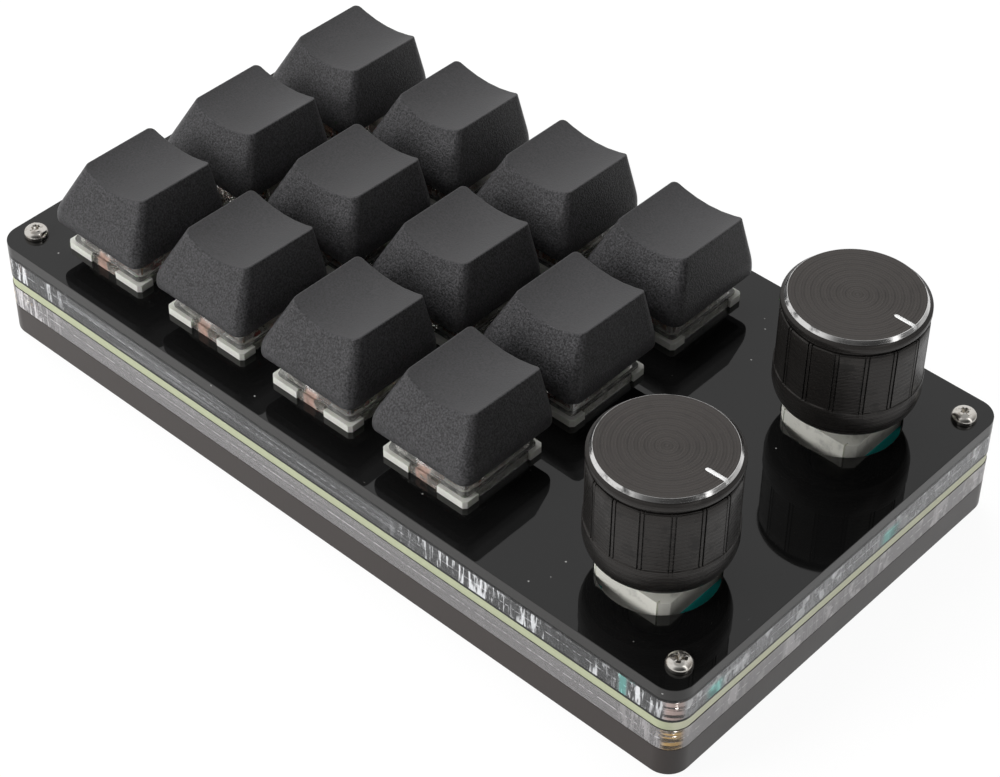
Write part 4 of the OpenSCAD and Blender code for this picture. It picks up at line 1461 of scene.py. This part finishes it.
@dataclass
class PushDial:
    """One dial: a turned black knob with a cut ring, milled panels and a white line.

    The turns are in degrees. Groove and recess are the depths of the grooves and of the panels between them, and
    flat says how far a panel is from round to plane. Shaft, shaft_flat and bore_end are the bore's radius, the
    distance of its flat and the height of its end.
    """

    name: str
    line_turn: float
    groove_turn: float
    radius: float = 10.2
    panels: int = 16
    groove: float = 0.42
    recess: float = 0.1
    flat: float = 0.4
    shaft: float = 3.06
    shaft_flat: float = 1.56
    bore_end: float = 19.4

    def columns(self) -> Tuple[np.ndarray, np.ndarray, np.ndarray]:
        """Angles of the skin's columns, closer together at each groove.

        Near and body are degrees from the middle of a groove, and cut is the share of its depth at each of near.
        The panel drops from the round by one less the cosine of half a panel's angle over that of the angle from
        the panel's middle.

        Returns:
            The angles, the groove's depth share and the panel's recess share in each column.
        """
        near = np.array([0.9, 1.1, 1.25, 1.9, 2.05, 2.2])
        cut = np.array([0.12, 0.25, 1.0, 1.0, 0.1, 0.0])
        near, cut = np.concatenate([-near[::-1], near]), np.concatenate([cut[::-1], cut])
        body = np.array([4.6, 7.5, 11.25, 15.0, 17.9])
        step = 360 / self.panels
        local = np.concatenate([near, body])
        depth = np.concatenate([cut, np.zeros(len(body))])
        chord = np.cos(math.radians(step / 2)) / np.cos(np.radians(local - step / 2))
        hollow = self.flat * self.radius * (1 - chord) / self.recess
        hollow = np.where(abs(local) <= near[-1], 1.0, 1.0 + np.clip(hollow, 0, 3))
        angles = np.radians((np.arange(self.panels)[:, None] * step + local[None]).ravel() + self.groove_turn)
        return angles, np.tile(depth, self.panels), np.tile(hollow, self.panels)

    def profile(self) -> List[Tuple[float, float, float, DialPart]]:
        """Half section from the middle of the top to the foot.

        Returns:
            Radius, height above the plate, share of the relief, and the part of the dial that follows.
        """
        r, (side, top, ring) = self.radius, DialPart
        runs = (
            (top, 0, ((2.0, 22.0), (5.0, 22.0), (8.0, 22.0), (9.1, 22.0))),
            (ring, 0, ((9.24, 22.0), (9.3, 21.97), (9.6, 21.5))),
            (side, 0, ((9.64, 21.42), (9.72, 21.32), (10.0, 21.2), (10.1, 21.12), (10.14, 21.0), (10.14, 20.5))),
            (ring, 0, ((10.1, 20.38),)),
            (side, 0, ((10.02, 20.33), (9.95, 20.31), (9.6, 20.31), (9.53, 20.24), (9.53, 19.79))),
            (side, 0.1, ((9.6, 19.69),)),
            (side, 0.6, ((9.95, 19.69),)),
            (side, 1, ((10.1, 19.63), (r, 19.45), (r, 17.7), (r, 14.9), (r, 12.2), (r, 9.9))),
            (side, 0.95, ((r, 9.8),)),
            (side, 0.15, ((r, 9.68),)),
            (side, 0, ((r, 9.6), (r, 8.4), (r, 7.1), (r - 0.07, 6.74), (r - 0.24, 6.1), (r - 0.46, 5.6))),
            (side, 0, ((r - 0.66, 5.3), (r - 0.8, 5.2), (8.06, 5.2), (7.97, 5.3), (7.97, 8.1), (4.25, 8.1))),
            (side, 0, ((4.1, 8.25), (4.1, 9.9))),
        )
        return [(radius, height, relief, part) for part, relief, points in runs for radius, height in points]

    def skin(self) -> Tuple[np.ndarray, np.ndarray, np.ndarray]:
        """Turned skin with milled panels.

        The radius is the profile's, less the groove's depth times its share, less the panel's recess times its
        share, both scaled by the profile's share of relief. Inside, the bore's radius is the shaft's, or the
        distance to its flat over the cosine where that is less.

        Returns:
            The points, the faces and the number of each face's finish.
        """
        angles, depth, hollow = self.columns()
        cut = self.groove * depth + self.recess * hollow * (1 - depth)
        profile = self.profile()
        rows = [circle(angles, radius - relief * cut, height) for radius, height, relief, _ in profile]
        cosine = np.cos(angles)
        flat = self.shaft_flat / np.maximum(-cosine, 1e-3)
        bore = np.where(cosine < -0.3, np.minimum(self.shaft, flat), self.shaft)
        rows += [circle(angles, bore, profile[-1][1]), circle(angles, bore, self.bore_end)]
        points, quads, origin = loft(np.array(rows), [0, 0, profile[0][1]], [0, 0, self.bore_end])
        marks = np.array([part for *_, part in profile] + 2 * [DialPart.SIDE])
        return points, quads, marks[np.minimum(origin, len(marks) - 1)]

    def line_skin(self) -> Tuple[np.ndarray, np.ndarray]:
        """The painted line: a thin bar that lies on the top and bends down over the cut ring.

        Reach, top and half give the distance from the axis, the height and the half width along the line. Across
        and lift give its cross section, a flat topped hump.

        Returns:
            The points and the faces.
        """
        reach = np.array([6.1, 6.18, 6.33, 6.55, 7.6, 8.6, 9.24, 9.35, 9.52, 9.56])
        top = np.array([22.0, 22.04, 22.05, 22.05, 22.05, 22.05, 22.04, 21.97, 21.7, 21.64])
        half = np.array([0.06, 0.18, 0.26, 0.3, 0.3, 0.3, 0.3, 0.3, 0.29, 0.24])
        across = np.array([-1, -1, -0.75, 0, 0.75, 1, 1, 0])
        lift = np.array([-0.12, -0.03, 0, 0.006, 0, -0.03, -0.12, -0.14])
        angle = math.radians(self.line_turn)
        along, side = np.array([math.cos(angle), math.sin(angle)]), np.array([-math.sin(angle), math.cos(angle)])
        flat = reach[:, None, None] * along + (half[:, None] * across[None])[..., None] * side
        rings = np.concatenate([flat, (top[:, None] + lift[None])[..., None]], -1)
        return loft(rings, rings[0].mean(0), rings[-1].mean(0))[:2]

    def build(self) -> None:
        """Builds the knob and its line."""
        x, y = middle(f"knob_{self.name}")
        place = np.array([x, y, TOP_OF_PLATE])
        points, quads, tags = self.skin()
        finishes = dial_finishes(self.name, (x, y))
        knob = mesh_piece(f"turned_knob_{self.name}", points + place, face_lists(quads), finishes, tags, sharp=30)
        settle(knob, f"dial_{self.name}", "knob_black", f"knob_{self.name}")
        points, quads = self.line_skin()
        line = mesh_piece(f"white_line_{self.name}", points + place, face_lists(quads), [LINE])
        settle(line, f"dial_{self.name}", "knob_black")


@dataclass
class Encoders:
    """The folded brackets, teal housings, terminals, rotors and shafts under the dials."""

    def build(self) -> None:
        """Eases the edges of what shows and dresses the rest."""
        ease_all(
            ("encoder_brackets", "folded_brackets", TINNED, 0.16, "bracket_steel"),
            ("encoder_housings", "teal_housings", TEAL, 0.12, "encoder_teal"),
            ("encoder_terminals", "encoder_pins", TERMINAL, 0.05, "terminal_tin"),
        )
        for name in ("front", "rear"):
            dress(f"encoder_rotor_{name}", ROTOR)
            dress(f"encoder_shaft_{name}", SHAFT)


# Studio


@dataclass
class Studio:
    """Floor, lamps, world and camera, in metres.

    Right, up and back are the camera's own axes. Each lamp has a name, a place, a size and a power in watts.
    """

    lens: float = 95.673
    shift: Tuple[float, float] = (-0.0005, 0.0002)
    eye: Point = (0.192422, -0.208914, 0.268971)
    right: Point = (0.736861, 0.676003, 0.007449)
    up: Point = (-0.464374, 0.498110, 0.732287)
    back: Point = (0.491318, -0.543053, 0.680956)
    floor_size: float = 3.0
    floor_steps: int = 8
    pale: Colour = (0.82, 0.82, 0.82)
    dim: Colour = (0.42, 0.42, 0.42)
    lamps: Tuple[Tuple[str, Point, float, float], ...] = (
        ("key_softbox", (-0.45, -0.8, 0.36), 0.5, 8.5),
        ("top_softbox", (-0.45, 0.2, 0.8), 0.6, 5.5),
    )

    def build(self) -> None:
        """Makes the whole studio."""
        self.floor()
        self.world()
        for lamp in self.lamps:
            self.lamp(*lamp)
        self.camera()

    @staticmethod
    def seen(tree: Tree) -> Wire:
        """Finds rays that show the background in the picture, in metal or through glass.

        Args:
            tree: the node tree that asks.

        Returns:
            One for such rays, and zero for others.
        """
        glossy = tree.ray("Glossy")
        glossy = glossy.maths("MAXIMUM", glossy, tree.ray("Transmission"))
        return glossy.maths("MAXIMUM", tree.ray("Camera"), glossy)

    def floor(self) -> None:
        """A pale floor that looks white and keeps a share of the object's shadow.

        It looks dimmer in reflections, most towards the far right, and lights matt surfaces from the right.
        """
        count = self.floor_steps + 1
        run = np.linspace(-0.5, 0.5, count) * self.floor_size / MM
        u, v = np.meshgrid(run, run)
        points = np.stack([u.ravel(), v.ravel(), np.full(u.size, -0.02)], -1)
        i, j = np.meshgrid(np.arange(self.floor_steps), np.arange(self.floor_steps), indexing="ij")
        corner = (i * count + j).ravel()
        faces = np.stack([corner, corner + 1, corner + count + 1, corner + count], -1).tolist()
        material = bpy.data.materials.new("floor_pale")
        tree = Tree(material)
        x, y, _ = tree.place().split()
        seen = self.seen(tree)
        far = (x * 0.83 + y * 0.55).rise(0.1, 0.26)
        colour = tree.blend((0.45 + far * 0.55) * (1 - tree.ray("Camera")) * seen, (1.0, 1.0, 1.0), self.dim)
        glow = tree.node("ShaderNodeEmission", {}, {0: colour, 1: 1.05 + (1 - seen) * 0.4})
        share = seen * 0.9 + (1 - seen) * x.rise(0.06, 0.1) * 0.8
        tree.finish(tree.mix(share, tree.surface(self.pale, 0.7), Wire(tree, glow.outputs[0])))
        floor = mesh_piece("floor", points, faces, [])
        floor.data.materials.append(material)

    def world(self) -> None:
        """Pale surroundings: white to the eye, and in reflections a wall that falls from left to right.

        The reflected wall is darker on the camera's side and overhead, and has one bright strip on the right.
        """
        world = bpy.data.worlds.new("surroundings")
        bpy.context.scene.world = world
        tree = Tree(world)
        direction = Arrow(tree, tree.node("ShaderNodeTexCoord").outputs["Generated"])
        x, y, z = direction.split()
        wall = (z * 0.45 + y * 0.12 - x * 0.85).rise(-0.75, 0.35)
        lens_side = (x * 0.62 - y * 0.69 + z * 0.36).rise(0.62, 0.9)
        strip = abs(y - x * 0.12).rise(0.16, 0.06) * x.rise(0.3, 0.6)
        shown = (0.15 + wall * 0.62) * (1 - lens_side * 0.75) * (1 - z.rise(0.84, 0.96) * 0.55) + strip * 1.2
        camera, seen = tree.ray("Camera"), self.seen(tree)
        strength = camera + (1 - camera) * (seen * shown + (1 - seen) * (0.04 + wall * 0.3))
        glow = tree.node("ShaderNodeBackground", {}, {0: (1.0, 1.0, 1.0), 1: strength})
        tree.node("ShaderNodeOutputWorld", {}, {0: Wire(tree, glow.outputs[0])})

    @staticmethod
    def lamp(name: str, place: Point, size: float, power: float) -> None:
        """Adds a square softbox that faces the keypad.

        Args:
            name: its name.
            place: where it hangs, in metres.
            size: its side, in metres.
            power: its power in watts.
        """
        data = bpy.data.lights.new(name, "AREA")
        data.size = size
        data.energy = power
        lamp = bpy.data.objects.new(name, data)
        lamp.location = place
        lamp.rotation_mode = "QUATERNION"
        lamp.rotation_quaternion = (-Vector(place)).to_track_quat("-Z", "Y")
        lamp.visible_glossy = False
        bpy.context.scene.collection.objects.link(lamp)

    def camera(self) -> None:
        """Camera at the photograph's place and angle."""
        data = bpy.data.cameras.new("camera")
        data.sensor_width = 36.0
        data.lens = self.lens
        data.shift_x, data.shift_y = self.shift
        data.clip_start, data.clip_end = 0.01, 20.0
        camera = bpy.data.objects.new("camera", data)
        turn = Matrix((self.right, self.up, self.back)).transposed().to_4x4()
        camera.matrix_world = Matrix.Translation(self.eye) @ turn
        bpy.context.scene.collection.objects.link(camera)
        bpy.context.scene.camera = camera
        bpy.context.scene.view_settings.view_transform = "Standard"


def main() -> None:
    """Loads the frame, builds every sub-assembly and closes the scene."""
    logging.basicConfig(level=logging.INFO, format="%(name)s: %(message)s")
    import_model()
    SculptedCaps().build()
    KeySprings().build()
    Switches().build()
    CaseStack().build()
    PushDial("front", 1.5, 1.0).build()
    PushDial("rear", -0.5, 1.0).build()
    Encoders().build()
    Studio().build()


if __name__ == "__main__":
    main()
